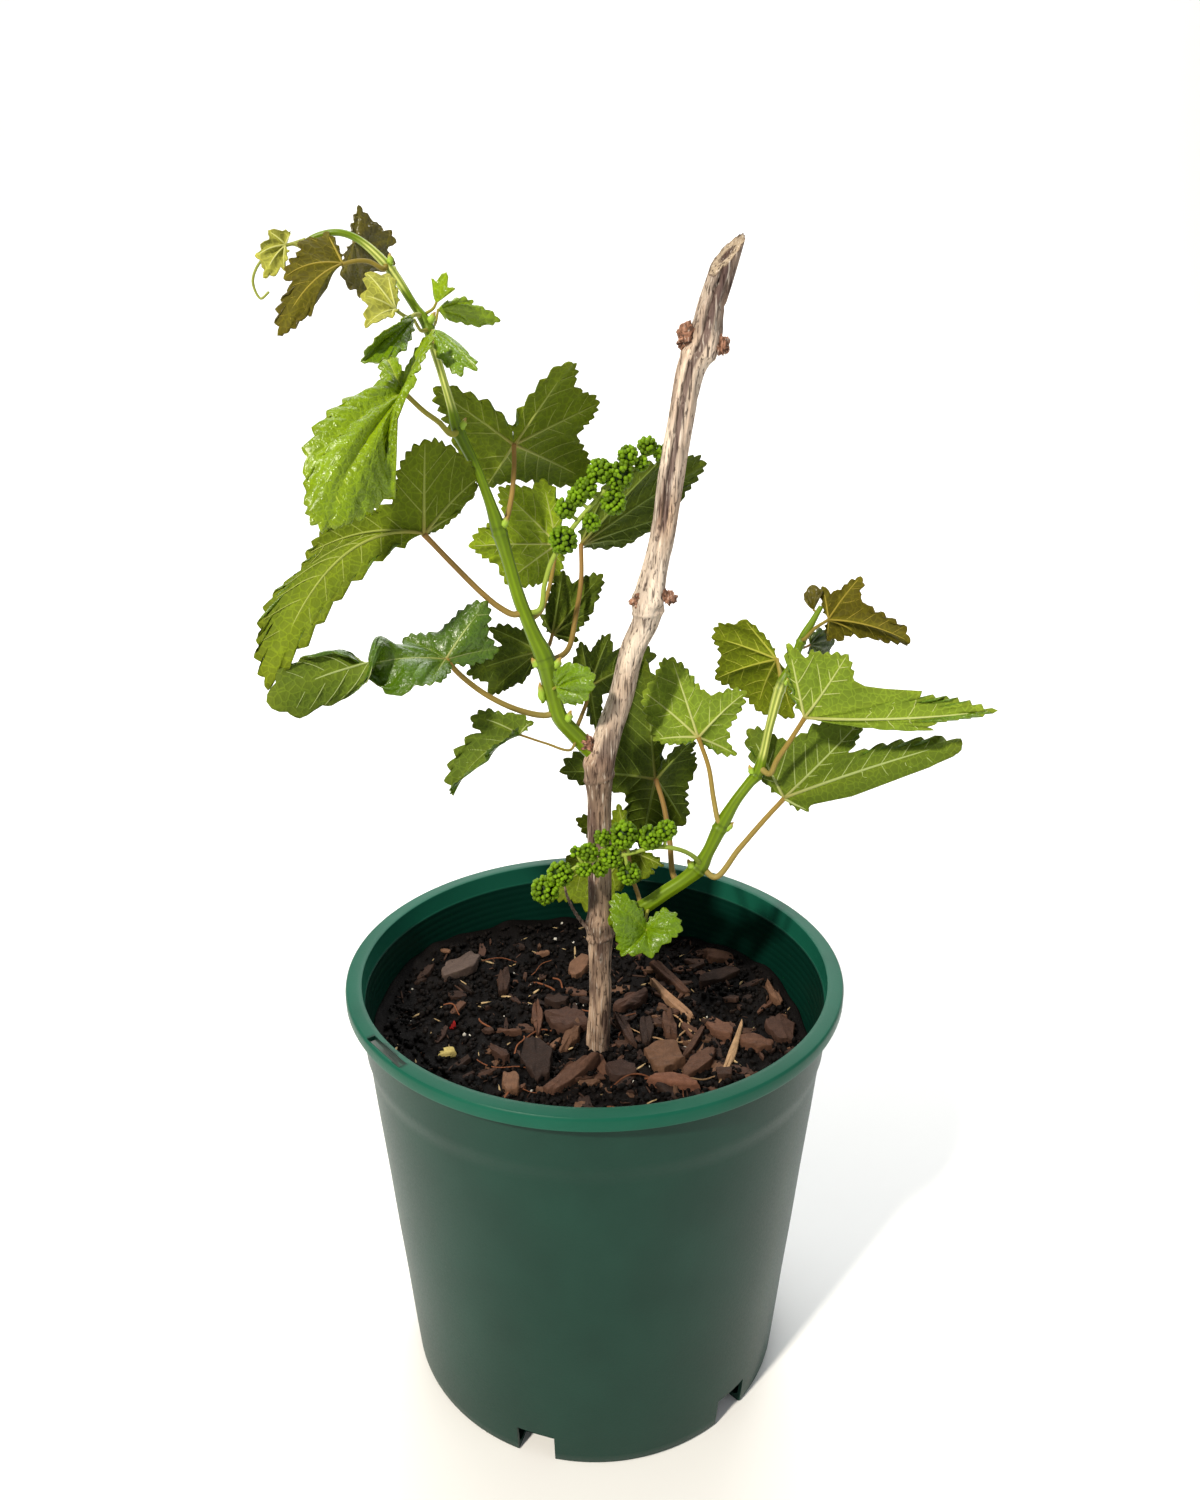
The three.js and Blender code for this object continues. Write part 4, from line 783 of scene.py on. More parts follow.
@dataclass
class PottingMix:
    """The mix that fills the pot, with bark chips, crumbs, splinters and perlite lying on it."""

    pot: Pot
    middle: float = 138.0
    edge: tuple[float, ...] = (141, 140, 140, 142, 149.5, 147, 150, 154, 158, 154.5, 149, 144)
    gap: float = 0.3
    rings: int = 130
    sides: int = 264
    crumbs: int = 4900
    splinters: int = 420
    grains: int = 46
    small_chips: int = 230
    roots: int = 34
    litter_reach: float = 86.5
    chip_reach: float = 84.0
    root_reach: float = 74.0
    crumb_height: float = 0.75
    sharp_from: float = 38.0
    seed: int = 11
    dark: str = "#0a0706"
    chip_browns: tuple[str, ...] = ("#4c3529", "#3b2a22", "#583d2f", "#432f26", "#664a38", "#2e211b")
    straw: str = "#a8906a"
    white: str = "#cfcabd"
    root_browns: tuple[str, str] = ("#7a4a30", "#9a7a58")

    def height(self, x: Array, y: Array) -> Array:
        """The top of the mix: from its middle up to the height at the pot's wall, with lumps.

        The height at the wall is given twelve times round and blended by the smooth step; lumps
        are products of sines in x and y.

        Args:
            x: Places from the axis to the right.
            y: Places from the axis to the back.

        Returns:
            The height at each place.
        """
        reach = self.pot.lean(self.middle) - self.pot.wall
        share = np.minimum(np.hypot(x, y) / reach, 1.0)
        edge = np.array(self.edge, float)
        place = ((math.radians(450) + np.arctan2(y, x)) % math.tau) / math.tau * len(edge)
        first = place.astype(int) % len(edge)
        rim = edge[first] + (edge[(first + 1) % len(edge)] - edge[first]) * smooth(place % 1)
        wide = np.sin(x / 5.1 + y / 8.3) * np.sin(y / 4.7 - x / 11)
        narrow = 0.6 * np.sin(x / 2.9) * np.sin(y / 3.3)
        return self.middle + (rim - self.middle) * share**1.6 + 0.7 * (wide + narrow)

    def ground(self) -> None:
        """The mix as one closed body: a disc of rings for its top, and its side down to the floor."""
        share = np.linspace(0, 1, self.rings)[1:, None]
        turn = (np.arange(self.sides) / self.sides * math.tau)[None, :]
        loose = self.pot.wall + self.gap
        reach = self.pot.lean(self.middle) - loose
        x, y = reach * share * np.cos(turn), reach * share * np.sin(turn)
        z = self.height(x, y)
        crumb = rough(x / 3.4 + 30, y / 3.4 + 30, 21)
        crumb = crumb + 0.7 * np.abs(table_noise(x / 1.5 + 60, y / 1.5 + 60, 33))
        z = z + self.crumb_height * crumb * (1 - smooth((share - 0.97) / 0.03))
        wide = 1 + ((self.pot.lean(z) - loose) / reach - 1) * smooth((share - 0.85) / 0.15)
        rings = [np.stack([x * wide, y * wide, z], -1)]
        for level, inset in ((self.pot.floor + 10.3, 0), (self.pot.floor + self.gap, 10)):
            r = self.pot.lean(self.pot.floor + 0.3) - loose - inset
            rings.append(np.stack([r * np.cos(turn), r * np.sin(turn), np.full(turn.shape, level)], -1))
        body = np.concatenate(rings)
        points = np.vstack([body.reshape(-1, 3), [[0, 0, self.middle]], [[0, 0, self.pot.floor + self.gap]]])
        shade = 1 + 0.5 * rough(points[:, 0] / 9 + 20, points[:, 1] / 9 + 20, 8)
        patch = Patch()
        patch.add(points, closed_faces(len(body), self.sides, flip=True), 0,
                  rgb(self.dark) * np.clip(shade, 0.4, 1.9)[:, None])
        patch.build("mix_ground", [POTTING_MIX.build()], "mix", "potting_mix")

    def chip(self, size: Point, seed: int) -> tuple[Array, Array]:
        """A chip of bark: a flat plate with a broken outline and grain along it.

        The outline is the innermost of six lines round the middle at random turns and reaches:
        reach / cos(turn - the line's turn). The distance from the middle and the height are both
        raised to a power well below one, which squares the edge, and noise lifts ridges along
        the plate.

        Args:
            size: Length, width and thickness.
            seed: Seed of its outline and ridges.

        Returns:
            Its points and triangles.
        """
        points, faces = ball(40, 9)
        x, y, z = points.T
        rng = np.random.default_rng(seed)
        turn = np.arctan2(y, x)
        corners = (np.arange(6) + rng.uniform(-0.32, 0.32, 6)) * math.tau / 6
        reach = rng.uniform(0.72, 1.0, 6)
        facing = np.maximum(np.cos(turn[:, None] - corners[None]), 0.05)
        plan = np.minimum((reach[None] / facing).min(1), 1.25)
        plan = plan * (1 + 0.06 * table_noise(turn / math.tau * 17, z * 2 + 8, seed, 17))
        out = np.hypot(x, y)
        wide = np.where(out > 0, out**0.14 / np.maximum(out, 1e-6), 0.0) * plan
        boxy = np.stack([x * wide, y * wide, np.sign(z) * np.abs(z) ** 0.25], -1)
        boxy[:, 2] += 0.42 * table_noise(boxy[:, 1] * 4 + 9, boxy[:, 0] * 0.8 + 9, seed + 2)
        boxy[:, 2] += 0.18 * boxy[:, 0] ** 2 * ((seed % 3) - 1)
        return boxy * np.array(size) / 2, faces

    def lying(self, x: float, y: float, turn: float, tilt: float,
              lift: float) -> tuple[Array, Array]:
        """Where a flat piece lies on the mix.

        Args:
            x: Its place to the right of the axis.
            y: Its place behind the axis.
            turn: Its turn from +X, in degrees.
            tilt: How far its end is up, in degrees.
            lift: How far its middle is over the mix.

        Returns:
            Its middle and its three axes, as scatter takes them.
        """
        t, a = math.radians(turn), math.radians(tilt)
        along = np.array([math.cos(t) * math.cos(a), math.sin(t) * math.cos(a), math.sin(a)])
        across = np.array([-math.sin(t), math.cos(t), 0.0])
        place = np.array([x, y, float(self.height(np.array(x), np.array(y))) + lift])
        return place[None], np.stack([along, across, np.cross(along, across)])[None]

    def bark(self) -> None:
        """The bark chips that can be told apart, each where it lies, and the smaller ones between."""
        patch = Patch()
        rng = np.random.default_rng(self.seed)
        browns = [rgb(code) for code in self.chip_browns]
        for k, (at, size, turn, tilt) in enumerate(CHIPS):
            code = CHIP_COLOURS.get(k)
            tone = rgb(code) if code else browns[k % len(browns)] * rng.uniform(0.8, 1.2)
            scatter(patch, self.chip(size, 40 + k), *self.lying(*at, turn, tilt, size[2] * 0.28), tone)
        count = 0
        while count < self.small_chips:
            x, y = rng.uniform(-self.chip_reach - 2, self.chip_reach + 2, 2)
            if math.hypot(x, y) > self.chip_reach:
                continue
            # There are more of them in front and to the right.
            if rng.random() > 0.35 + 0.65 * smooth((x - 0.4 * y + 25) / 50):
                continue
            count += 1
            length = rng.uniform(3, 12) if rng.random() < 0.7 else rng.uniform(8, 17)
            size = (length, length * rng.uniform(0.2, 0.55), rng.uniform(1.0, 2.6))
            lying = self.lying(x, y, rng.uniform(0, 360), rng.uniform(-22, 22), size[2] * 0.3)
            tone = browns[int(rng.integers(len(browns)))] * rng.uniform(0.4, 1.15)
            scatter(patch, self.chip(size, 90 + count), *lying, tone)
        piece = patch.build("bark_chips", [BARK_CHIP.build()], "mix")
        piece.data.set_sharp_from_angle(angle=math.radians(self.sharp_from))

    def litter(self) -> None:
        """Crumbs of compost, splinters of wood and perlite, scattered over the mix."""
        rng = np.random.default_rng(self.seed + 1)
        patch = Patch()
        points, faces = ball(6, 3)
        points = points * (1 + 0.16 * np.sin(7 * points[:, :1] + 5 * points[:, 1:2] + 3))
        for count, kind in ((self.crumbs, "crumb"), (self.splinters, "splinter"), (self.grains, "perlite")):
            radius = self.litter_reach * np.sqrt(rng.uniform(0, 1, count))
            turn = rng.uniform(0, math.tau, count)
            x, y = radius * np.cos(turn), radius * np.sin(turn)
            size = rng.uniform(0.6, 2.1, (count, 1)) ** 1.3
            if kind == "splinter":
                shape = np.hstack([size * rng.uniform(2.2, 4.5, (count, 1)), size * 0.4, size * 0.35])
                tone = np.where(rng.random((count, 1)) < 0.28, rgb(self.straw), rgb(self.chip_browns[1]))
            elif kind == "crumb":
                shape = size * rng.uniform(0.7, 1.3, (count, 3))
                tone = rgb(self.dark) * rng.uniform(0.4, 2.4, (count, 1))
            else:
                shape = size * 0.75 * rng.uniform(0.8, 1.2, (count, 3))
                tone = rgb(self.white) * rng.uniform(0.6, 1.1, (count, 1))
            tone = tone * rng.uniform(0.7, 1.3, (count, 1))
            # Every kind draws a free turn, and splinters then draw one that lies flat.
            turns = random_turns(rng, count)
            if kind == "splinter":
                turns = turned_flat(rng, count)
            z = self.height(x, y) + shape.min(1) * 0.45 + 0.35
            scatter(patch, (points, faces), np.stack([x, y, z], -1), turns * shape[:, :, None] * 0.5, tone,
                    int(kind == "perlite"))
        patch.build("mix_litter", [POTTING_MIX.build(), PERLITE.build()], "mix")

    def fibres(self) -> None:
        """Thin roots and fibres that lie over the mix, as fine bars on a waved path."""
        patch = Patch()
        rng = np.random.default_rng(self.seed + 2)
        count = 16
        s = np.linspace(0, 1, count)
        for k in range(self.roots):
            start = rng.uniform(-70, 70, 2)
            if math.hypot(*start) > self.root_reach:
                continue
            turn = rng.uniform(0, math.tau)
            length = rng.uniform(8, 26)
            bend = turn + rng.uniform(-1.2, 1.2) * s + 0.4 * np.sin(s * rng.uniform(4, 9))
            x, y = (np.clip(middle + np.cumsum(way) * length / count, -80, 80)
                    for middle, way in zip(start, (np.cos(bend), np.sin(bend))))
            z = self.height(x, y) + 1.1 + 1.2 * np.sin(s * math.pi)
            tone = rgb(self.root_browns[0 if k % 3 else 1]) * rng.uniform(0.6, 1.2)
            tube(patch, np.stack([x, y, z], -1), np.full(count, rng.uniform(0.18, 0.42)), 5, 0, tone)
        patch.build("mix_fibres", [BARK_CHIP.build()], "mix")

    def build(self) -> None:
        """Makes the mix and what lies on it."""
        self.ground()
        self.bark()
        self.litter()
        self.fibres()


def turned_flat(rng: np.random.Generator, count: int) -> Array:
    """Random rotation matrices for pieces that lie nearly flat.

    Args:
        rng: Where the draws come from.
        count: How many.

    Returns:
        One matrix each.
    """
    turn = rng.uniform(0, math.tau, count)
    tilt = rng.uniform(-0.35, 0.35, count)
    along = np.stack([np.cos(turn) * np.cos(tilt), np.sin(turn) * np.cos(tilt), np.sin(tilt)], -1)
    across = np.stack([-np.sin(turn), np.cos(turn), np.zeros(count)], -1)
    return np.stack([along, across, np.cross(along, across)], 1)


# The cane


@dataclass
class Cane:
    """Last year's woody cane: swollen nodes, cracked bark, bud scars and a slanting cut on top."""

    stations: tuple[Station, ...]
    scars: tuple[tuple[Point, Point, float], ...]
    nodes: tuple[float, ...] = (196.0, 265.0, 329.0, 418.0)
    cut_through: Point = (45.2, 0.0, 445.5)
    cut_falls: tuple[float, float] = (0.82, 0.75)
    twig: tuple[Station, ...] = ((-1, -3, 195, 1.1), (-4, -3.4, 198, 0.9), (-8, -3.4, 204, 0.7),
                                 (-11, -3, 211, 0.55), (-12, -3, 216, 0.4))
    dark_rings: tuple[Point, ...] = ((256, 7, 0.42), (209, 6, 0.4), (196, 3, 0.25), (424, 4, 0.3),
                                     (438, 8, 0.3))
    fine_rows: int = 900
    rows: int = 620
    sides: int = 84
    bark: str = "#c2a58b"
    ash: str = "#eedecb"
    dark: str = "#6b564b"
    strip: str = "#5d4a47"
    wood: str = "#a8967e"
    pith: str = "#54423a"
    scar: str = "#8a6450"
    twig_grey: str = "#8a7466"
    patch: Patch = field(default_factory=Patch)

    def split_at(self, z: Array) -> Array:
        """The turn from the viewer's side at which the long split runs, at a height."""
        return -0.06 + 0.015 * np.sin(z / 17) + 0.03 * (z - 395) / 40

    def relief(self, turn: Array, z: Array) -> Array:
        """Height of the bark over the smooth cane.

        Ribs along the cane are noise drawn out lengthwise; cracks are sunk where another such
        noise is near zero; the nodes are knobbly, with a ring below each; one long split runs up
        the front of the upper part.

        Args:
            turn: The turn from the viewer's side, 0 to 1.
            z: The height above the ground.

        Returns:
            The relief in millimetres.
        """
        ribs = 0.26 * table_noise(turn * 13, z / 34 + 8, 3, 13)
        ribs = ribs + 0.15 * table_noise(turn * 31, z / 12 + 4, 4, 31)
        cracks = -0.42 * np.exp(-(table_noise(turn * 9, z / 26 + 3, 5, 9) / 0.06) ** 2)
        knobs = np.zeros_like(z)
        for k, place in enumerate(self.nodes):
            near = np.exp(-((z - place) / 5.0) ** 2)
            knobs += near * (0.55 * table_noise(turn * 8, z / 3.2 + 5 * k, 6, 8) + 0.25)
            knobs += 0.5 * np.exp(-((z - place + 4.5 - 1.2 * np.sin(turn * math.tau)) / 0.9) ** 2)
        beside = np.where(turn > 0.5, turn - 1, turn) - self.split_at(z)
        within = smooth((z - 352) / 10) * (1 - smooth((z - 440) / 6))
        below = smooth((z - 331) / 3) * (1 - smooth((z - 352) / 14))
        split = -1.1 * within * np.exp(-(beside / 0.022) ** 2)
        split += 0.3 * within * np.exp(-((beside + 0.045) / 0.03) ** 2)
        split += -0.5 * below * np.exp(-((beside - 0.01) / 0.02) ** 2)
        return ribs + cracks + knobs + split

    def body(self) -> None:
        """The cane's surface: rings along its path, cut by a leaning plane at the top.

        Each line of points up the cane ends where it meets the plane, and its rows are spread
        evenly up to there. The cut face is filled by smaller rings round the pith.
        """
        fine = path_through(np.array(self.stations, float), self.fine_rows)
        path, radius = fine[:, :3], fine[:, 3]
        first, second = frames_along(path)
        turn = np.arange(self.sides) / self.sides
        # Turn 0 faces the viewer, along -Y.
        ring = -(first[:, None] * np.cos(turn * math.tau)[None, :, None]
                 + second[:, None] * np.sin(turn * math.tau)[None, :, None])
        height = np.broadcast_to(path[:, None, 2], ring.shape[:2])
        reach = radius[:, None] + self.relief(np.broadcast_to(turn, height.shape), height)
        surface = path[:, None] + ring * reach[..., None]
        # The cut falls to the left and to the viewer.
        normal = unit(np.array([-self.cut_falls[0], -self.cut_falls[1], 1.0]))
        beyond = ((surface - np.array(self.cut_through)) @ normal > 0).argmax(0)
        place = np.linspace(0, 1, self.rows)[:, None] * beyond[None, :]
        low = np.floor(place).astype(int)
        part = (place - low)[..., None]
        column = np.broadcast_to(np.arange(self.sides), low.shape)
        body = surface[low, column] * (1 - part) + surface[np.minimum(low + 1, len(path) - 1), column] * part
        rim, middle, rings = body[-1], body[-1].mean(0), []
        for share, sunk in ((0.94, 0), (0.75, 0), (0.5, 0), (0.28, 0), (0.16, 0.6)):
            uneven = 0.25 * table_noise(turn * 9, np.full(self.sides, share * 7), 9, 9) - sunk
            rings.append(middle + (rim - middle) * share + normal * uneven[:, None])
        points = np.concatenate([body, np.array(rings)])
        flat = np.vstack([points.reshape(-1, 3), path[:1], [points[-1].mean(0)]])
        tone = self.tones(np.broadcast_to(turn, points.shape[:2]), points[..., 2])
        tones = np.vstack([tone.reshape(-1, 3), rgb(self.dark), rgb(self.pith)])
        self.patch.add(flat, closed_faces(len(points), self.sides), 0, tones)

    def tones(self, turn: Array, z: Array) -> Array:
        """Colour of the bark and, in the last five rings, of the cut face.

        Along the front of the upper part the bark has fallen away in a strip beside the split.

        Args:
            turn: The turn of each point from the viewer's side, 0 to 1.
            z: Its height above the ground.

        Returns:
            A colour for each point.
        """
        bark, ash, dark, strip, wood, pith = map(
            rgb, (self.bark, self.ash, self.dark, self.strip, self.wood, self.pith))
        mix = np.clip(0.5 + 0.6 * rough(turn * 6, z / 17, 14, 3, 6), 0, 1)[..., None]
        tone = dark + (bark - dark) * mix
        pale = (smooth((z - 268) / 12) * 0.75)[..., None]
        patches = np.clip(0.6 + 0.5 * rough(turn * 5, z / 24, 17, 2, 5), 0, 1)[..., None]
        tone = tone + (ash - tone) * pale * patches
        for place, width, depth in self.dark_rings:
            tone = tone * (1 - depth * np.exp(-((z - place) / width) ** 2))[..., None]
        beside = ((turn + 0.5) % 1 - 0.5 - self.split_at(z)) / 0.075
        upper = smooth((z - 350) / 8)
        bare = upper[..., None] * ((beside > 0) * smooth((1.3 - beside) / 0.3))[..., None]
        tone = tone + (strip - tone) * bare * 0.85
        tone = tone * (1 + 0.45 * (np.exp(-((beside + 0.35) / 0.3) ** 2) * upper)[..., None])
        # Darker where the relief is sunk: partly the cracks' own colour, partly painted shade in the cracks
        # and the split.
        tone = tone * (1 - np.clip(-self.relief(turn, z) - 0.25, 0, 0.8)[..., None])
        tone[-6], tone[-5] = dark * 0.8, wood * 0.8
        tone[-4:-2], tone[-2:] = wood, pith
        return tone

    def scars_and_twig(self) -> None:
        """Flaking bud scars on the nodes, and the dead twig low on the left."""
        for k, (at, size, tilt) in enumerate(self.scars):
            points, faces = ball(26, 18)
            x, y, z = points.T
            swell = 1 + 0.4 * table_noise(x * 3 + 9, z * 3 + y + 9, 50 + k)
            swell += 0.26 * table_noise(x * 8 + 9, z * 8 + y * 5 + 9, 60 + k)
            points = points * swell[:, None] * np.array(size)
            flakes = table_noise(points[:, 0] * 1.6 + 20, points[:, 2] * 1.6 + 20, 70 + k)
            tone = rgb(self.scar) * np.clip(1 + 1.5 * flakes, 0.3, 2.2)[:, None]
            self.patch.add(points @ leaned(tilt) + np.array(at), faces, 0, tone)
        count = 40
        line = path_through(np.array(self.twig, float), count)
        knots = 1 + 0.15 * np.sin(np.arange(count) * 2.1)
        tube(self.patch, line[:, :3], line[:, 3] * knots, 9, 0, rgb(self.twig_grey))

    def build(self) -> None:
        """Makes the cane and puts it in the CAD cane's place."""
        self.body()
        self.scars_and_twig()
        self.patch.build("cane_bark", [CANE_BARK.build()], "cane", "cane")


# The green shoots


@dataclass
class Shoot:
    """A green shoot of this year: a zigzag stem swollen at its nodes, with buds and a soft tip."""

    name: str
    stations: tuple[Station, ...]
    buds: tuple[tuple[Point, Point, float], ...]
    pale: tuple[tuple[float, float], ...] = ()
    tendril: tuple[Station, ...] = ()
    rows: int = 420
    sides: int = 26
    green: str = "#637c08"
    node_green: str = "#57700a"
    pale_green: str = "#c2c870"
    bud_green: str = "#93b23a"
    bud_tip: str = "#a98a4a"
    tendril_green: str = "#8c9440"
    patch: Patch = field(default_factory=Patch)

    def middle_line(self, count: int) -> Array:
        """Points and radii along the shoot."""
        return path_through(np.array(self.stations, float), count)

    def stem(self) -> None:
        """The stem: rings along its path with faint ribs, painted lighter on their crests and darker between
        them, and paler and striped over the heights given in `pale`.
        """
        line = self.middle_line(self.rows)
        path, radius = line[:, :3], line[:, 3]
        turn = np.arange(self.sides) / self.sides
        z = path[:, 2:3]
        # A low collar runs round the stem at each node, where its radius is greatest.
        peaks = 1 + np.nonzero((radius[1:-1] > radius[:-2]) & (radius[1:-1] >= radius[2:]))[0]
        along = np.concatenate([[0], np.cumsum(np.linalg.norm(np.diff(path, axis=0), axis=1))])
        collar = np.exp(-((along[:, None] - along[peaks][None] + 0.8) / 0.5) ** 2).sum(1)
        ribs = 0.05 * np.cos(turn * math.tau * 8)[None] * radius[:, None] + 0.35 * collar[:, None]
        reach = radius[:, None] + ribs + 0.05 * table_noise(turn[None] * 7 + 0 * z, z / 6 + 0 * turn, 81, 7)
        green, joint, pale = map(rgb, (self.green, self.node_green, self.pale_green))
        around = np.convolve(np.pad(radius, 20, "edge"), np.ones(41) / 41, "valid")
        tone = green + (joint - green) * np.clip((radius - around) / 0.4, 0, 1)[:, None]
        light = np.zeros(self.rows)
        for low, high in self.pale:
            light = np.maximum(light, smooth((z[:, 0] - low) / 4) * (1 - smooth((z[:, 0] - high) / 4)))
        stripe = np.clip(0.55 + 0.45 * np.cos(turn * math.tau * 6), 0, 1)
        full = tone[:, None] + (pale - tone[:, None]) * (light[:, None] * stripe[None])[..., None]
        full = full * (1 - 0.35 * np.clip(np.roll(collar, 4), 0, 1))[:, None, None]
        # Lighter on the ribs' crests and darker between them: painted highlight and painted shade that follow
        # the eight ribs.
        full = full * (1 + 0.22 * np.cos(turn * math.tau * 8))[None, :, None]
        full = full * (1 + 0.1 * rough(turn[None] * 6 + 0 * z, z / 9 + 0 * turn, 83, 2, 6))[..., None]
        tube(self.patch, path, reach, self.sides, 0, full.reshape(-1, 3))

    def growths(self) -> None:
        """Buds in the angles of the leaves, each drawn to a point, and the tendril."""
        points, faces = ball(16, 14)
        x, y, z = points[:, :1], points[:, 1:2], points[:, 2:]
        taper = 1 - 0.45 * smooth((z + 0.1) / 1.1)
        shape = points * np.hstack([taper, taper, np.ones_like(taper)])
        scales = 1 + 0.08 * np.sign(np.sin(z * 7 + np.arctan2(y, x)))
        tip, base = rgb(self.bud_tip), rgb(self.bud_green)
        tone = base + (tip - base) * smooth((z - 0.1) / 0.8)
        for at, size, tilt in self.buds:
            self.patch.add((shape * scales * np.array(size)) @ leaned(tilt) + np.array(at), faces, 0, tone)
        if self.tendril:
            curl = path_through(np.array(self.tendril, float), 90)
            tube(self.patch, curl[:, :3], curl[:, 3], 10, 0, rgb(self.tendril_green))

    def build(self) -> None:
        """Makes the shoot and puts it in the place of its CAD node."""
        self.stem()
        self.growths()
        self.patch.build(self.name + "_green", [SHOOT_SKIN.build()], "shoot", self.name)


# The leaves


class LeafTint(Enum):
    """Colours of a leaf's upper skin, underside, veins and petiole, by how old and how lit it is."""

    GLOSSY = ("#6e8804", "#6f8010", "#aab846", "#8a8030")
    BRIGHT = ("#5c7a06", "#66790e", "#a0b044", "#8d8a38")
    # Painted shade: darker, greyer copies of the leaf greens for leaves that lie in part shade.
    MATT = ("#4f6807", "#58680b", "#919c48", "#94713c")
    HALF_SHADE = ("#3f5c0a", "#4c5e14", "#9aa868", "#8f7434")
    LIT = ("#5c7a0a", "#6b7f12", "#a3ae5c", "#8f7434")
    PALE = ("#527214", "#63781f", "#aeb870", "#8f7434")
    # Painted shade: much darker copies of the leaf greens for leaves far back in shade.
    DEEP_SHADE = ("#2e4206", "#3b4a07", "#6b7c30", "#8a6a38")
    LIME = ("#566e08", "#5a660a", "#a4a83e", "#8d7c34")
    # Painted sheen: pale greens that stand for the silvery sheen of light on these small leaves.
    SILVER = ("#6f8424", "#8a8c38", "#c4c678", "#8f9440")
    BRONZE = ("#4a4407", "#4b4606", "#958630", "#7f702c")


@dataclass(frozen=True)
class LeafSpec:
    """One leaf: where its veins join, the tips of its five main veins from there, and its form.

    `slim` is each lobe's width to its length, `heart` the undivided middle, `arch` how far a vein
    stands off its straight line, `bends` and `rolls` the same for one vein and the turn of the
    blade about it, `tooth` and `teeth` the height and number of teeth along one side of a lobe.
    `reach` widens or narrows the edge at each quarter turn from -1 to 5, in hundredths.
    """

    node: str
    slot: str
    tint: LeafTint
    at: Point
    tips: tuple[Point, ...]
    slim: tuple[float, ...]
    heart: float
    arch: Point
    tooth: float
    teeth: int
    petiole: float
    petiole_path: tuple[Point, ...]
    swing: float = 60.0
    quilt: float = 1.2
    bends: dict[int, Point] = field(default_factory=dict)
    rolls: dict[int, Point] = field(default_factory=dict)
    reach: tuple[int, ...] = ()


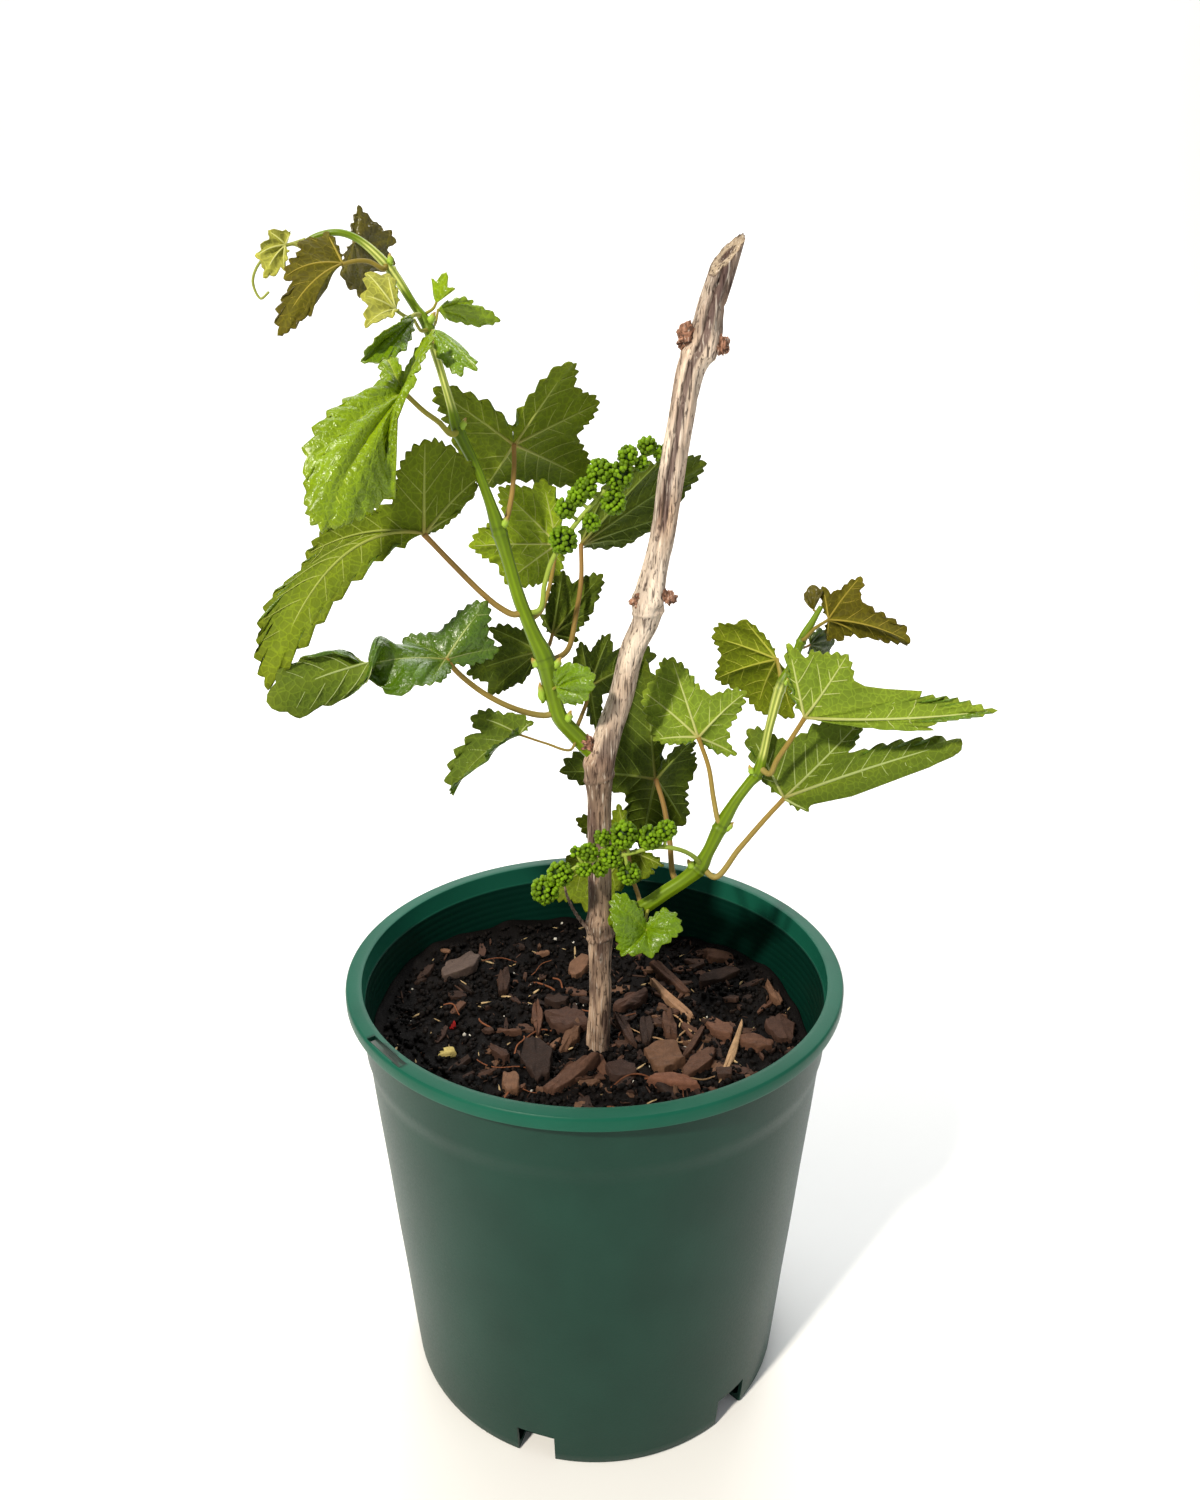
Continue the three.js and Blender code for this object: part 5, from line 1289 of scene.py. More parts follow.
class LeafForm:
    """The sheet of one leaf as a function of two parameters.

    u is the turn about the junction: whole numbers 0 to 4 are the main veins, -1 and 5 the
    outermost lines of the basal lobes. q is the share of the way out to the edge. The edge's
    radius at an angle is the fifth root of the sum of the fifth powers of five lobes and of a
    disc in the middle; a lobe of length L is L cos / (cos^2 + (sin / slim)^2).
    """

    tooth_pitch = 3.4
    tooth_bulge = 1.2
    covered_from = 1.3

    def __init__(self, spec: LeafSpec) -> None:
        """Works out the veins' directions, their angles and the directions beside them.

        Args:
            spec: The leaf.
        """
        self.spec = spec
        tips = np.array(spec.tips, float)
        self.junction = np.array(spec.at, float)
        self.lengths = np.linalg.norm(tips, axis=1)
        self.veins = tips / self.lengths[:, None]
        self.arches = np.array(spec.arch) * (self.lengths / self.lengths.max())[:, None]
        for vein, bend in spec.bends.items():
            self.arches[vein] = bend
        dots = (self.veins[:-1] * self.veins[1:]).sum(1)
        self.angles = np.concatenate([[0.0], np.cumsum(np.arccos(np.clip(dots, -1, 1)))])
        forward = unit(self.veins[1:] - self.veins[:-1] * dots[:, None])
        backward = unit(self.veins[:-1] - self.veins[1:] * dots[:, None])
        self.forward = np.vstack([forward, -backward[-1:]])
        self.backward = np.vstack([-forward[:1], backward])
        self.disc = spec.heart * math.exp(np.log(self.lengths).mean())

    def lobe(self, i: int, angle: Array) -> Array:
        """Radius of one lobe; 0 beyond a right angle from its vein.

        Args:
            i: The vein's number.
            angle: Angles from the vein.

        Returns:
            The radius at each angle.
        """
        along = np.cos(angle)
        across = np.sin(angle) / self.spec.slim[i]
        return np.where(np.abs(angle) < math.pi / 2, self.lengths[i] * along / (along**2 + across**2), 0.0)

    def edge(self, angle: Array) -> Array:
        """Radius of the untoothed edge.

        Args:
            angle: Angles from the first vein.

        Returns:
            The radius at each angle.
        """
        inward = np.minimum(angle, self.angles[4] - angle)
        total = (self.disc * np.clip(inward / 0.35, 0, 1)) ** 5
        for i in range(5):
            total = total + np.abs(self.lobe(i, angle - self.angles[i])) ** 5
        return total**0.2

    def outer(self, vein: int, turn: Array) -> Array:
        """Radius of the outer half of a basal lobe, from its tip at 0 back to the junction at 1."""
        return self.lobe(vein, turn * math.pi / 2) * self.edge(self.angles[vein]) / self.lengths[vein]

    def gain(self, u: Array) -> Array:
        """How far the edge is drawn out or in.

        Args:
            u: Turns about the junction.

        Returns:
            A factor for each.
        """
        if not self.spec.reach:
            return np.ones_like(u)
        return np.interp(u, np.linspace(-1, 5, len(self.spec.reach)), np.array(self.spec.reach) / 100)

    def beside(self, i: int, ahead: bool, radius: Array, angle: Array) -> Array:
        """Places beside one vein, with its arch and roll.

        Args:
            i: The vein's number.
            ahead: Whether they lie on the side of the next vein.
            radius: Their distances from the junction.
            angle: Their angles from the vein.

        Returns:
            The places, from the junction.
        """
        along = radius * np.cos(angle)
        share = np.clip(along / self.lengths[i], 0, 1.15)
        side = np.broadcast_to((self.forward if ahead else self.backward)[i], along.shape + (3,))
        if i in self.spec.rolls:
            degrees, start, end = self.spec.rolls[i]
            side = turned(side, self.veins[i], np.radians(degrees) * smooth((share - start) / (end - start)))
        return (self.veins[i] * along[..., None] + self.arches[i] * (4 * share * (1 - share))[..., None]
                + side * (radius * np.abs(np.sin(angle)))[..., None])

    def flat(self, u: Array, q: Array) -> tuple[Array, Array, Array]:
        """Where a place lies in the leaf laid flat, from the vein that its tissue belongs to.

        Args:
            u: Turns about the junction.
            q: Shares of the way to the edge.

        Returns:
            The vein's number, the distance along it and the distance beside it.
        """
        base = np.clip(u, 0, 4)
        i = np.minimum(base.astype(int), 3)
        t = base - i
        sector = np.diff(self.angles)[i]
        angle = self.angles[i] + t * sector
        lobes = np.stack([self.lobe(k, angle - self.angles[k]) for k in range(5)])
        grid = np.indices(i.shape)
        first = lobes[(i, *grid)] >= lobes[(i + 1, *grid)]
        low, high = u < 0, u > 4
        turn = np.where(low, -u, u - 4)
        radius = np.where(low, self.outer(0, turn), np.where(high, self.outer(4, turn), self.edge(angle)))
        radius = radius * q * self.gain(u)
        beside = np.where(first, t, 1 - t) * sector
        beside = np.where(low | high, turn * math.radians(self.spec.swing), beside)
        vein = np.where(low, 0, np.where(high, 4, np.where(first, i, i + 1)))
        return vein, radius * np.cos(beside), radius * np.sin(beside)

    def point(self, u: Array, q: Array) -> Array:
        """The sheet: blended between the two veins that a place lies between, and quilted.

        Args:
            u: Turns about the junction.
            q: Shares of the way to the edge.

        Returns:
            The place of each (u, q).
        """
        u, q = np.broadcast_arrays(np.asarray(u, float), np.asarray(q, float))
        out = q * self.gain(u)
        place = np.zeros(u.shape + (3,))
        swing = math.radians(self.spec.swing)
        for vein, inside in ((0, u < 0), (4, u > 4)):
            turn = np.abs(u[inside] - vein)
            place[inside] = self.beside(vein, vein == 4, self.outer(vein, turn) * out[inside], turn * swing)
        for i in range(4):
            inside = (u >= i) & (u <= 4) if i == 3 else (u >= i) & (u < i + 1)
            t = u[inside] - i
            sector = self.angles[i + 1] - self.angles[i]
            radius = self.edge(self.angles[i] + t * sector) * out[inside]
            one = self.beside(i, True, radius, t * sector)
            two = self.beside(i + 1, False, radius, (1 - t) * sector)
            above = unit(np.cross(self.veins[i + 1], self.veins[i]))
            mix = smooth(t)[..., None]
            lift = self.spec.quilt * np.sin(math.pi * t) * np.sin(math.pi * q[inside])
            place[inside] = one * (1 - mix) + two * mix + above * lift[..., None]
        return place + self.junction

    def turns(self) -> list[float]:
        """The places along the edge where a lobe ends or two lobes meet.

        Returns:
            Their u, in order.
        """
        turns = [-1.0, 0.0]
        t = np.arange(0.25, 0.76, 0.01)
        for i in range(4):
            radius = self.edge(self.angles[i] + t * (self.angles[i + 1] - self.angles[i]))
            turns += [i + float(t[radius.argmin()]), i + 1.0]
        return turns + [5.0]

    def toothed(self, rng: np.random.Generator) -> tuple[Array, Array]:
        """The columns of the leaf's grid and how far a tooth moves the edge out at each.

        Teeth are spaced evenly along each side of each lobe and lean to its tip. Between two
        marks, a valley and a point, the lift is quick near the valley and eases off near the
        point, so the teeth's sides bulge a little.

        Args:
            rng: Where the sizes of the teeth come from.

        Returns:
            The columns' u and their lifts in millimetres.
        """
        turns = self.turns()
        marks: list[tuple[float, float]] = []
        for k in range(len(turns) - 1):
            u = np.linspace(turns[k], turns[k + 1], 90)
            steps = np.linalg.norm(np.diff(self.point(u, 1.0), axis=0), axis=1)
            run = np.concatenate([[0], np.cumsum(steps)])
            rising = k % 2 == 0
            tip = round(turns[k + 1] if rising else turns[k])
            covered = self.covered(tip)
            count = 1 if covered else int(np.clip(round(run[-1] / self.tooth_pitch), 1, self.spec.teeth))
            if k > 0 and rising:
                marks.append((turns[k], -0.2))
            for tooth in range(count):
                for share, lift in (((tooth + 0.36) / count, -0.5), ((tooth + 1) / count, 0.5)):
                    if lift < 0 and (tooth == 0 or covered):
                        continue
                    wanted = (share if rising else 1 - share) * run[-1]
                    size = 0.0 if covered else lift * rng.uniform(0.6, 1.3)
                    marks.append((float(np.interp(wanted, run, u)), size))
        marks.sort()
        kept = [m for m, before in zip(marks, [(-9.0, 0.0)] + marks) if m[0] - before[0] > 1e-4]
        at, lift = np.array(kept).T
        gap = np.linalg.norm(np.diff(self.point(at, 1.0), axis=0), axis=1)
        room = np.minimum(np.concatenate([gap[:1], gap]), np.concatenate([gap, gap[-1:]]))
        lift = lift * np.minimum(self.spec.tooth, 1.15 * room)
        steps = np.arange(3) / 3
        u = (at[:-1, None] + np.diff(at)[:, None] * steps).ravel()
        rise = np.diff(lift)[:, None]
        share = np.where(rise > 0, 1 - (1 - steps) ** self.tooth_bulge, steps**self.tooth_bulge)
        out = (lift[:-1, None] + rise * share).ravel()
        return np.clip(np.append(u, at[-1]), -0.985, 4.985), np.append(out, lift[-1])

    def covered(self, vein: int) -> bool:
        """Whether a vein's own lobe lies within its neighbours and the disc."""
        return bool(self.edge(self.angles[vein]) > self.covered_from * self.lengths[vein])


@dataclass
class Leaf:
    """One leaf: its toothed, quilted blade with raised veins on both sides, and its petiole."""

    spec: LeafSpec
    stems: Array
    thickness: float = 0.34
    rows: int = 20
    falloff: float = 0.26
    vein_slope: float = 0.9
    sweep: float = 0.35
    patch: Patch = field(default_factory=Patch)

    def __post_init__(self) -> None:
        """Works out the form and how many side veins each lobe has."""
        self.form = LeafForm(self.spec)
        self.rng = np.random.default_rng(sum(map(ord, self.spec.node)))
        self.side_veins = np.clip(np.round(self.form.lengths / 6.5), 3, 9)

    def phase(self, vein: Array, along: Array, beside: Array) -> Array:
        """Which side vein a flat place lies on: whole numbers are side veins, halves lie between.

        A side vein leaves its main vein at a slope and sweeps towards the tip: its start is the
        distance along, less the slope times the distance beside, less a square term.

        Args:
            vein: The main vein's number.
            along: Distances along it.
            beside: Distances beside it.

        Returns:
            The number of the side vein at each place.
        """
        length = self.form.lengths[vein]
        start = along - self.vein_slope * beside - self.sweep * beside**2 / length
        return start / length * self.side_veins[vein]

    def pucker(self, u: Array, q: Array) -> Array:
        """How far the blade bulges up between its veins.

        Args:
            u: Turns about the junction.
            q: Shares of the way to the edge.

        Returns:
            The rise of each place in millimetres.
        """
        vein, along, beside = self.form.flat(u, q)
        domes = np.abs(np.sin(math.pi * self.phase(vein, along, beside))) ** 0.7
        length = self.form.lengths[vein]
        rise = smooth(beside / (0.09 * length)) * (1 - 0.65 * smooth((q - 0.8) / 0.2)) * smooth(q / 0.15)
        return 0.013 * length * np.clip(self.spec.quilt, 0.5, 2.4) * (domes - 0.3) * rise

    def surface(self) -> tuple[Array, Array, Array, Array]:
        """The middle of the sheet on its grid.

        Returns:
            The points, the directions square to them on the upper side, and u and q of each.
        """
        columns, lift = self.form.toothed(self.rng)
        share = np.linspace(0, 1, self.rows + 1)[1:]
        share = 1 - (1 - share) ** 1.12
        u, q = np.broadcast_arrays(columns[None], share[:, None])
        points = self.form.point(u, q)
        edge = points[-1]
        tangent = unit(np.gradient(edge, axis=0))
        inward = self.form.point(columns, np.full_like(columns, 0.97)) - edge
        outward = unit(inward * -1 + tangent * (inward * tangent).sum(-1, keepdims=True))
        points = points + outward * lift[:, None] * smooth((q - (1 - self.falloff)) / self.falloff)[..., None]
        normal = self.normals(points)
        phase = self.rng.uniform(0, math.tau, 3)
        size = min(1.0, self.form.lengths.max() / 45)
        wave = sum(high * np.sin(times * u + start)
                   for (high, times), start in zip(((0.5, 9), (0.35, 21), (0.2, 37)), phase))
        points = points + normal * (self.pucker(u, q) + size * 0.9 * wave * q**5)[..., None]
        return points, self.normals(points), u, q

    def normals(self, points: Array) -> Array:
        """Directions square to a grid on the leaf's upper side: across u times along q.

        Args:
            points: Rows and columns of points.

        Returns:
            A direction for each.
        """
        along_u = np.gradient(points, axis=1)
        along_q = np.gradient(points, axis=0)
        return unit(np.cross(along_u, along_q))

    def shades(self, u: Array, q: Array, code: str) -> Array:
        """Colour over the sheet: paler along the main veins, with soft patches, yellower at the edge.

        Args:
            u: Turns about the junction.
            q: Shares of the way to the edge.
            code: The colour between the veins.

        Returns:
            A colour for each place.
        """
        vein, along, beside = self.form.flat(u, q)
        tone = rgb(code)
        near = np.exp(-(beside / (0.035 * self.form.lengths[vein] + 0.5)) ** 2) * (1 - 0.5 * q)
        side = np.exp(-((self.phase(vein, along, beside) + 0.5) % 1 - 0.5) ** 2 / 0.006)
        patches = rough(along / 13 + 20, beside / 9 + vein * 7, sum(map(ord, self.spec.node)) % 97, 3)
        scaled = tone * (1 + 0.10 * patches[..., None])
        light = np.clip(0.55 * near + 0.18 * side, 0, 1)[..., None]
        lit = tone * 1.25 + np.array([0.045, 0.045, 0.002])
        rim = smooth((q - 0.9) / 0.1)[..., None] * 0.25
        warm = tone * np.array([1.35, 1.05, 0.8])
        return scaled + (lit - scaled) * light + (warm - scaled) * rim

    def blade(self) -> None:
        """The blade as one closed skin: the sheet moved half its thickness to each side."""
        middle, normal, u, q = self.surface()
        rows, columns = u.shape
        junction, half = self.form.junction, self.thickness / 2
        up = unit(normal[0].mean(0))
        upper, lower = (np.vstack([[junction + up * off], (middle + normal * off).reshape(-1, 3)])
                        for off in (half, -half))
        n = len(upper)
        c = np.arange(columns - 1)
        fan = np.stack([0 * c, c + 2, c + 1, 0 * c - 1], -1)
        top = np.vstack([grid_faces(rows, columns) + 1, fan])
        bottom = np.where(top >= 0, top + n, -1)
        bottom = np.where(bottom[:, 3:] < 0, bottom[:, [0, 2, 1, 3]], bottom[:, [0, 3, 2, 1]])
        right = np.arange(rows) * columns + columns
        left = right - columns + 1
        rim = np.arange(columns) + left[-1]
        loop = np.concatenate([[0], right[:-1], rim[::-1], left[:-1][::-1]])
        after = np.roll(loop, -1)
        faces = np.vstack([top, bottom, np.stack([after, loop, loop + n, after + n], -1)])
        slots = np.zeros(len(faces), int)
        slots[len(top):2 * len(top)] = 1
        above, below = (self.shades(u, q, code).reshape(-1, 3) for code in self.spec.tint.value[:2])
        tones = np.vstack([above[:1], above, below[:1], below])
        self.patch.add(np.vstack([upper, lower]), faces, slots, tones)

    def carried(self, u: Array, q: Array) -> tuple[Array, Array]:
        """Places on the finished sheet.

        Args:
            u: Turns about the junction along a line.
            q: Shares of the way to the edge along it.

        Returns:
            The places and the directions square to the sheet there.
        """
        step, point = 0.004, self.form.point
        across = point(np.clip(u + step, -0.99, 4.99), q) - point(np.clip(u - step, -0.99, 4.99), q)
        along = point(u, np.minimum(q + step, 1)) - point(u, np.maximum(q - step, 0))
        normal = unit(np.cross(across, along))
        return point(u, q) + normal * self.pucker(u, q)[..., None], normal

    def ribs(self) -> None:
        """Main veins and side veins as tapering bars sunk in the sheet, prouder underneath."""
        size = (self.form.lengths.mean() / 42) ** 0.6
        vein_tone, petiole_tone = map(rgb, self.spec.tint.value[2:])
        for vein in range(5):
            if self.form.covered(vein):
                continue
            q = np.linspace(0.0, 0.97, 26)
            place, normal = self.carried(np.full_like(q, float(vein)), q)
            place[0] = self.form.junction
            radius = self.spec.petiole * 0.5 * (1 - q) ** 0.8 + 0.11 * size
            tone = vein_tone + (petiole_tone - vein_tone) * (0.6 * np.exp(-q / 0.12))[:, None]
            tube(self.patch, place - normal * (radius * 0.45)[:, None], radius, 8, 2, tone)
            for side in (-1, 1):
                self.side_ribs(vein, side, size, vein_tone)

    def side_ribs(self, vein: int, side: int, size: float, tone: Array) -> None:
        """The side veins on one side of a main vein, from it to the edge or to the next lobe.

        Args:
            vein: The main vein's number.
            side: -1 or 1.
            size: What their thickness is multiplied by.
            tone: Their colour.
        """
        form, length, other = self.form, self.form.lengths[vein], vein + side
        count, fine, kept = int(self.side_veins[vein]), 60, 11
        for k in range(1, count):
            beside = np.linspace(0, 0.9 * length, fine)
            along = k / count * length + self.vein_slope * beside + self.sweep * beside**2 / length
            radius = np.hypot(along, beside)
            angle = np.arctan2(beside, along)
            if not 0 <= other <= 4:
                turn = angle / math.radians(self.spec.swing)
                u = vein + side * turn
                q = radius / np.maximum(form.outer(vein, np.clip(turn, 0, 0.98)) * form.gain(u), 1e-6)
                inside = (turn < 0.9) & (q < 0.97)
            else:
                sector = abs(form.angles[vein] - form.angles[other])
                u = vein + side * angle / sector
                q = radius / (form.edge(form.angles[vein] + side * angle) * form.gain(u))
                inside = (angle < sector) & (q < 0.97)
                inside &= form.lobe(vein, angle) >= 0.97 * form.lobe(other, sector - angle)
            stop = fine if inside.all() else int(inside.argmin())
            if stop < 4:
                continue
            pick = np.linspace(0, stop - 1, kept)
            place, normal = self.carried(*(np.interp(pick, np.arange(fine), line) for line in (u, q)))
            share = np.linspace(0, 1, kept)
            reach = size * (0.27 * (1 - 0.65 * k / count) * (1 - share) ** 0.7 + 0.07)
            tube(self.patch, place - normal * (reach * 0.15)[:, None], reach, 5, 2, tone)

    def stalk(self) -> None:
        """The petiole: a bar from the junction to the middle of the nearest stem, stouter at its root."""
        rest = np.array(self.spec.petiole_path, float)
        root = self.stems[np.linalg.norm(self.stems - rest[-1], axis=1).argmin()]
        s = np.linspace(0, 1, 60)
        line = path_through(np.vstack([[self.form.junction], rest, [root]]), len(s))
        ends = 0.25 * smooth((s - 0.85) / 0.15) + 0.12 * np.exp(-s / 0.04)
        radius = self.spec.petiole * (0.85 + 0.3 * s + ends)
        high, low = map(rgb, self.spec.tint.value[2:])
        tube(self.patch, line, radius, 14, 3, low + (high * 0.8 - low) * (0.35 * s)[:, None])

    def build(self, dressings: Sequence[bpy.types.Material]) -> None:
        """Makes the leaf and puts it in the place of its CAD node.

        Args:
            dressings: Materials of the upper skin, the underside, the veins and the petiole.
        """
        self.blade()
        self.ribs()
        self.stalk()
        self.patch.build(self.spec.node + "_veined", dressings, self.spec.slot, self.spec.node)


# The flower clusters


@dataclass
class FlowerCluster:
    """A branched stalk with round heads of flower buds, each bud a capped ball."""

    name: str
    stalk: tuple[Station, ...]
    heads: tuple[Station, ...]
    bud: float = 1.85
    swell: float = 1.2
    packing: float = 4.2
    fewest: int = 9
    # Size of the dark ball inside each head, as a share of it: painted shade in the gaps between the buds.
    shadow_core: float = 0.72
    green: str = "#60800c"
    # Colour of that dark ball: painted shade.
    shade: str = "#1e3405"
    stalk_green: str = "#8da03e"
    patch: Patch = field(default_factory=Patch)

    def buds(self) -> None:
        """The buds of every head, spread over its ball by the golden angle, with their stalks."""
        rng = np.random.default_rng(len(self.heads) + ord(self.name[-1]))
        points, faces = ball(7, 5)
        # A bud is a little longer than wide, with a blunt cap and a dimple on top.
        points = points * np.array([1, 1, 1.12])
        dimple = 0.25 * np.exp(-(np.hypot(points[:, 0], points[:, 1]) / 0.28) ** 2)
        points[:, 2] -= dimple * (points[:, 2] > 0)
        shadow_ball, shadow_faces = ball(10, 7)
        for x, y, z, radius in self.heads:
            shell = max(radius * self.swell - self.bud / 2, 0.9)
            count = int(max(self.fewest, self.packing * math.pi * shell**2 / self.bud**2))
            k = np.arange(count) + 0.5
            polar = np.arccos(1 - 2 * k / count)
            turn = k * math.pi * (1 + 5**0.5) + rng.uniform(0, 6)
            out = np.stack([np.sin(polar) * np.cos(turn), np.sin(polar) * np.sin(turn), np.cos(polar)], -1)
            out = unit(out + rng.normal(0, 0.1, out.shape))
            middle = np.array([x, y, z]) + out * shell * rng.uniform(0.86, 1.0, (count, 1))
            side = unit(np.cross(out, rng.normal(size=(count, 3))))
            size = self.bud / 2 * rng.uniform(0.86, 1.1, (count, 1, 1))
            axes = np.stack([side, np.cross(out, side), out], 1) * size
            tones = rgb(self.green) * rng.uniform(0.6, 1.5, (count, 1))
            scatter(self.patch, (points, faces), middle, axes, tones)
            # A dark ball inside the head is painted shade that shows in the gaps between the buds.
            inner = shadow_ball * (shell * self.shadow_core) + np.array([x, y, z])
            self.patch.add(inner, shadow_faces, 0, rgb(self.shade))
        tube(self.patch, *self.line(), 14, 1, rgb(self.stalk_green))

    def line(self) -> tuple[Array, Array]:
        """The stalk's path and radius."""
        whole = path_through(np.array(self.stalk, float), 120)
        return whole[:, :3], whole[:, 3]

    def branches(self) -> None:
        """Short branches from the stalk to each head."""
        path, _ = self.line()
        for head in self.heads:
            middle = np.array(head[:3], float)
            root = path[np.linalg.norm(path - middle, axis=1).argmin()]
            if np.linalg.norm(root - middle) > 1.5:
                line = path_through(np.vstack([root, (root + middle) / 2 + (0, -0.6, -0.5), middle]), 12)
                tube(self.patch, line, np.linspace(0.75, 0.5, 12), 8, 1, rgb(self.stalk_green))

    def build(self, dressings: Sequence[bpy.types.Material]) -> None:
        """Makes the cluster and puts it in the place of its CAD node.

        Args:
            dressings: Materials of the buds and of the stalk.
        """
        self.buds()
        self.branches()
        self.patch.build(self.name + "_buds", dressings, "flower", self.name)


# The picture


@dataclass
class Studio:
    """The floor, the lights and the camera."""

    camera_place: Point = (0.0, -0.395, 0.4117)
    pitch: float = 19.55
    yaw: float = 0.31
    lens: float = 26.33
    clip_start: float = 0.02
    paper: str = "#f4f4f2"
    sky: str = "#f2f4f6"
    sky_strength: float = 0.36

    def sweep(self) -> None:
        """A pale paper sweep: a flat floor that curves up far behind the pot."""
        rows, columns = 60, 12
        s = np.linspace(0, 1, rows)
        bend = np.clip((s - 0.5) / 0.3, 0, 1) * math.pi / 2
        y = np.where(s < 0.5, -3 + 9.0 * s, 1.5 + 1.5 * np.sin(bend))
        z = np.where(s < 0.5, 0.0, 1.5 * (1 - np.cos(bend))) + 4.0 * np.clip((s - 0.8) / 0.2, 0, 1)
        points = np.stack(np.broadcast_arrays(np.linspace(-5, 5, columns)[None], y[:, None], z[:, None]), -1)
        mesh = bpy.data.meshes.new("paper_sweep")
        mesh.from_pydata(points.reshape(-1, 3).tolist(), [], grid_faces(rows, columns).tolist())
        mesh.polygons.foreach_set("use_smooth", np.ones(len(mesh.polygons), bool))
        material = bpy.data.materials.new("paper_matt")
        material.use_nodes = True
        shader = material.node_tree.nodes["Principled BSDF"]
        shader.inputs["Base Color"].default_value = colour(self.paper)
        shader.inputs["Roughness"].default_value = 0.95
        mesh.materials.append(material)
        floor = bpy.data.objects.new("paper_sweep", mesh)
        bpy.context.scene.collection.objects.link(floor)

    def lamp(self, name: str, place: Point, size: float, power: float, tint: str = "#ffffff",
             target: Point = (0, 0, 0.26)) -> None:
        """A square soft light.

        Args:
            name: Its name.
            place: Where it is, in metres.
            size: Its side, in metres.
            power: In watts.
            tint: Its colour.
            target: Where it is turned to: the plant, unless said otherwise.
        """
        data = bpy.data.lights.new(name, "AREA")
        data.shape, data.size, data.energy, data.color = "SQUARE", size, power, colour(tint)[:3]
        lamp = bpy.data.objects.new(name, data)
        lamp.location = place
        lamp.rotation_euler = (Vector(target) - Vector(place)).to_track_quat("-Z", "Y").to_euler()
        bpy.context.scene.collection.objects.link(lamp)

    def build(self) -> None:
        """Sets the floor, a key from upper left in front, a fill from the right and a pale world."""
        self.sweep()
        self.lamp("key", (-0.75, -1.1, 1.4), 0.12, 38, "#fff6e8")
        self.lamp("fill", (1.3, -0.9, 0.8), 1.2, 3.0, "#eef4ff")
        self.lamp("back", (0.2, 1.6, 1.5), 1.5, 14)
        self.lamp("paper_light", (0, 1.1, 2.1), 1.6, 60, target=(0, 2.7, 0.3))
        world = bpy.data.worlds.new("studio")
        world.use_nodes = True
        world.node_tree.nodes["Background"].inputs[0].default_value = colour(self.sky)
        world.node_tree.nodes["Background"].inputs[1].default_value = self.sky_strength
        bpy.context.scene.world = world
        data = bpy.data.cameras.new("camera")
        data.lens = self.lens
        data.clip_start = self.clip_start
        camera = bpy.data.objects.new("camera", data)
        camera.location = self.camera_place
        camera.rotation_euler = (math.radians(90 - self.pitch), 0, math.radians(-self.yaw))
        bpy.context.scene.collection.objects.link(camera)
        bpy.context.scene.camera = camera
        bpy.context.scene.view_settings.view_transform = "Standard"


# Sizes of this plant, in millimetres

# Stations of each stem: place and radius.
CANE = (
    (0, 0, 72, 4.2), (0, 0, 105, 4.8), (1, 0, 138, 4.9), (2, 0, 161, 4.7),
    (2, 0, 180, 4.7), (2, 0, 196, 5.5), (2, 0, 206, 4.8), (2, 0, 234, 4.6),
    (2, 0, 252, 4.7), (2, 0, 265, 5.7), (5, 0, 277, 5), (10, 0, 293, 4.6),
    (14, 0, 311, 4.6), (19, 0, 322, 5), (20, 0, 329, 5.6), (22, 0, 340, 4.7),
    (25, 0, 355, 4.4), (27, 0, 372, 4.4), (30, 0, 392, 4.4), (33, 0, 409, 4.7),
    (37, 0, 418, 5.4), (39, 0, 428, 4.6), (42, 0, 438, 4.4), (47, 0, 456, 4.4),
)
SHOOT_LEFT = (
    (3, 0, 268, 3.4), (-1, 0, 271, 3.3), (-7, -2, 278, 3.1), (-13, -4, 286, 3),
    (-15, -4, 293, 3), (-18, -4, 308, 3.6), (-22, -3, 317, 2.7), (-27, -2, 330, 2.4),
    (-31, 0, 344, 2.3), (-34, 0, 355, 2.7), (-37, 0, 365, 1.9), (-41, 0, 376, 1.7),
    (-47, 0, 389, 2.1), (-49, 0, 397, 1.5), (-53, 0, 412, 1.4), (-56, 0, 423, 1.9),
    (-60, 1, 429, 1.4), (-68, 1, 441, 1.6), (-77, 0, 449, 1.2), (-83, -1, 451, 1.1),
    (-90, -1, 450, 1), (-96, -1, 447, 0.9),
)
SHOOT_RIGHT = (
    (2, 0, 196, 3.4), (6, -1, 199, 3.3), (12, -4, 203, 3.2), (20, -6, 208, 3),
    (28, -6, 214, 2.9), (36, -6, 220, 2.9), (41, -6, 225, 3.3), (44, -6, 231, 2.5),
    (49, -5, 242, 2.8), (54, -5, 252, 2.1), (59, -4, 259, 2), (62, -4, 263, 2.3),
    (64, -4, 271, 1.7), (66, -3, 282, 1.6), (70, -1, 298, 2), (73, 0, 304, 1.4),
    (77, 0, 315, 1.7), (80, 0, 321, 1.3), (83, 0, 327, 0.9),
)
TENDRIL = (
    (-94, -1, 449, 0.55), (-103, -2, 446, 0.5), (-109, -3, 442, 0.45), (-112, -3, 436, 0.45),
    (-110, -3, 431, 0.4), (-107, -3, 433, 0.4),
)
UPPER_STALK = (
    (-27, -2, 325, 1.2), (-20, -1, 326, 1), (-18, 0, 335, 0.9), (-15, 1, 344, 0.9),
    (-7, 2, 356, 0.9), (2, 4, 366, 0.8), (10, 6, 374, 0.8), (17, 9, 379, 0.7),
    (23, 12, 381, 0.6),
)
UPPER_HEADS = (
    (-11, 1, 351, 4.7), (-1, 2, 357, 3.2), (-10, 2, 362, 3.6), (-6, 3, 366, 3.4),
    (-3, 2, 369, 3.8), (7, 4, 364, 4.3), (2, 3, 375, 4.2), (9, 4, 373, 4.6),
    (12, 6, 380, 3.5), (17, 9, 377, 2.8), (19, 10, 383, 3.3), (25, 12, 380, 3.3),
)
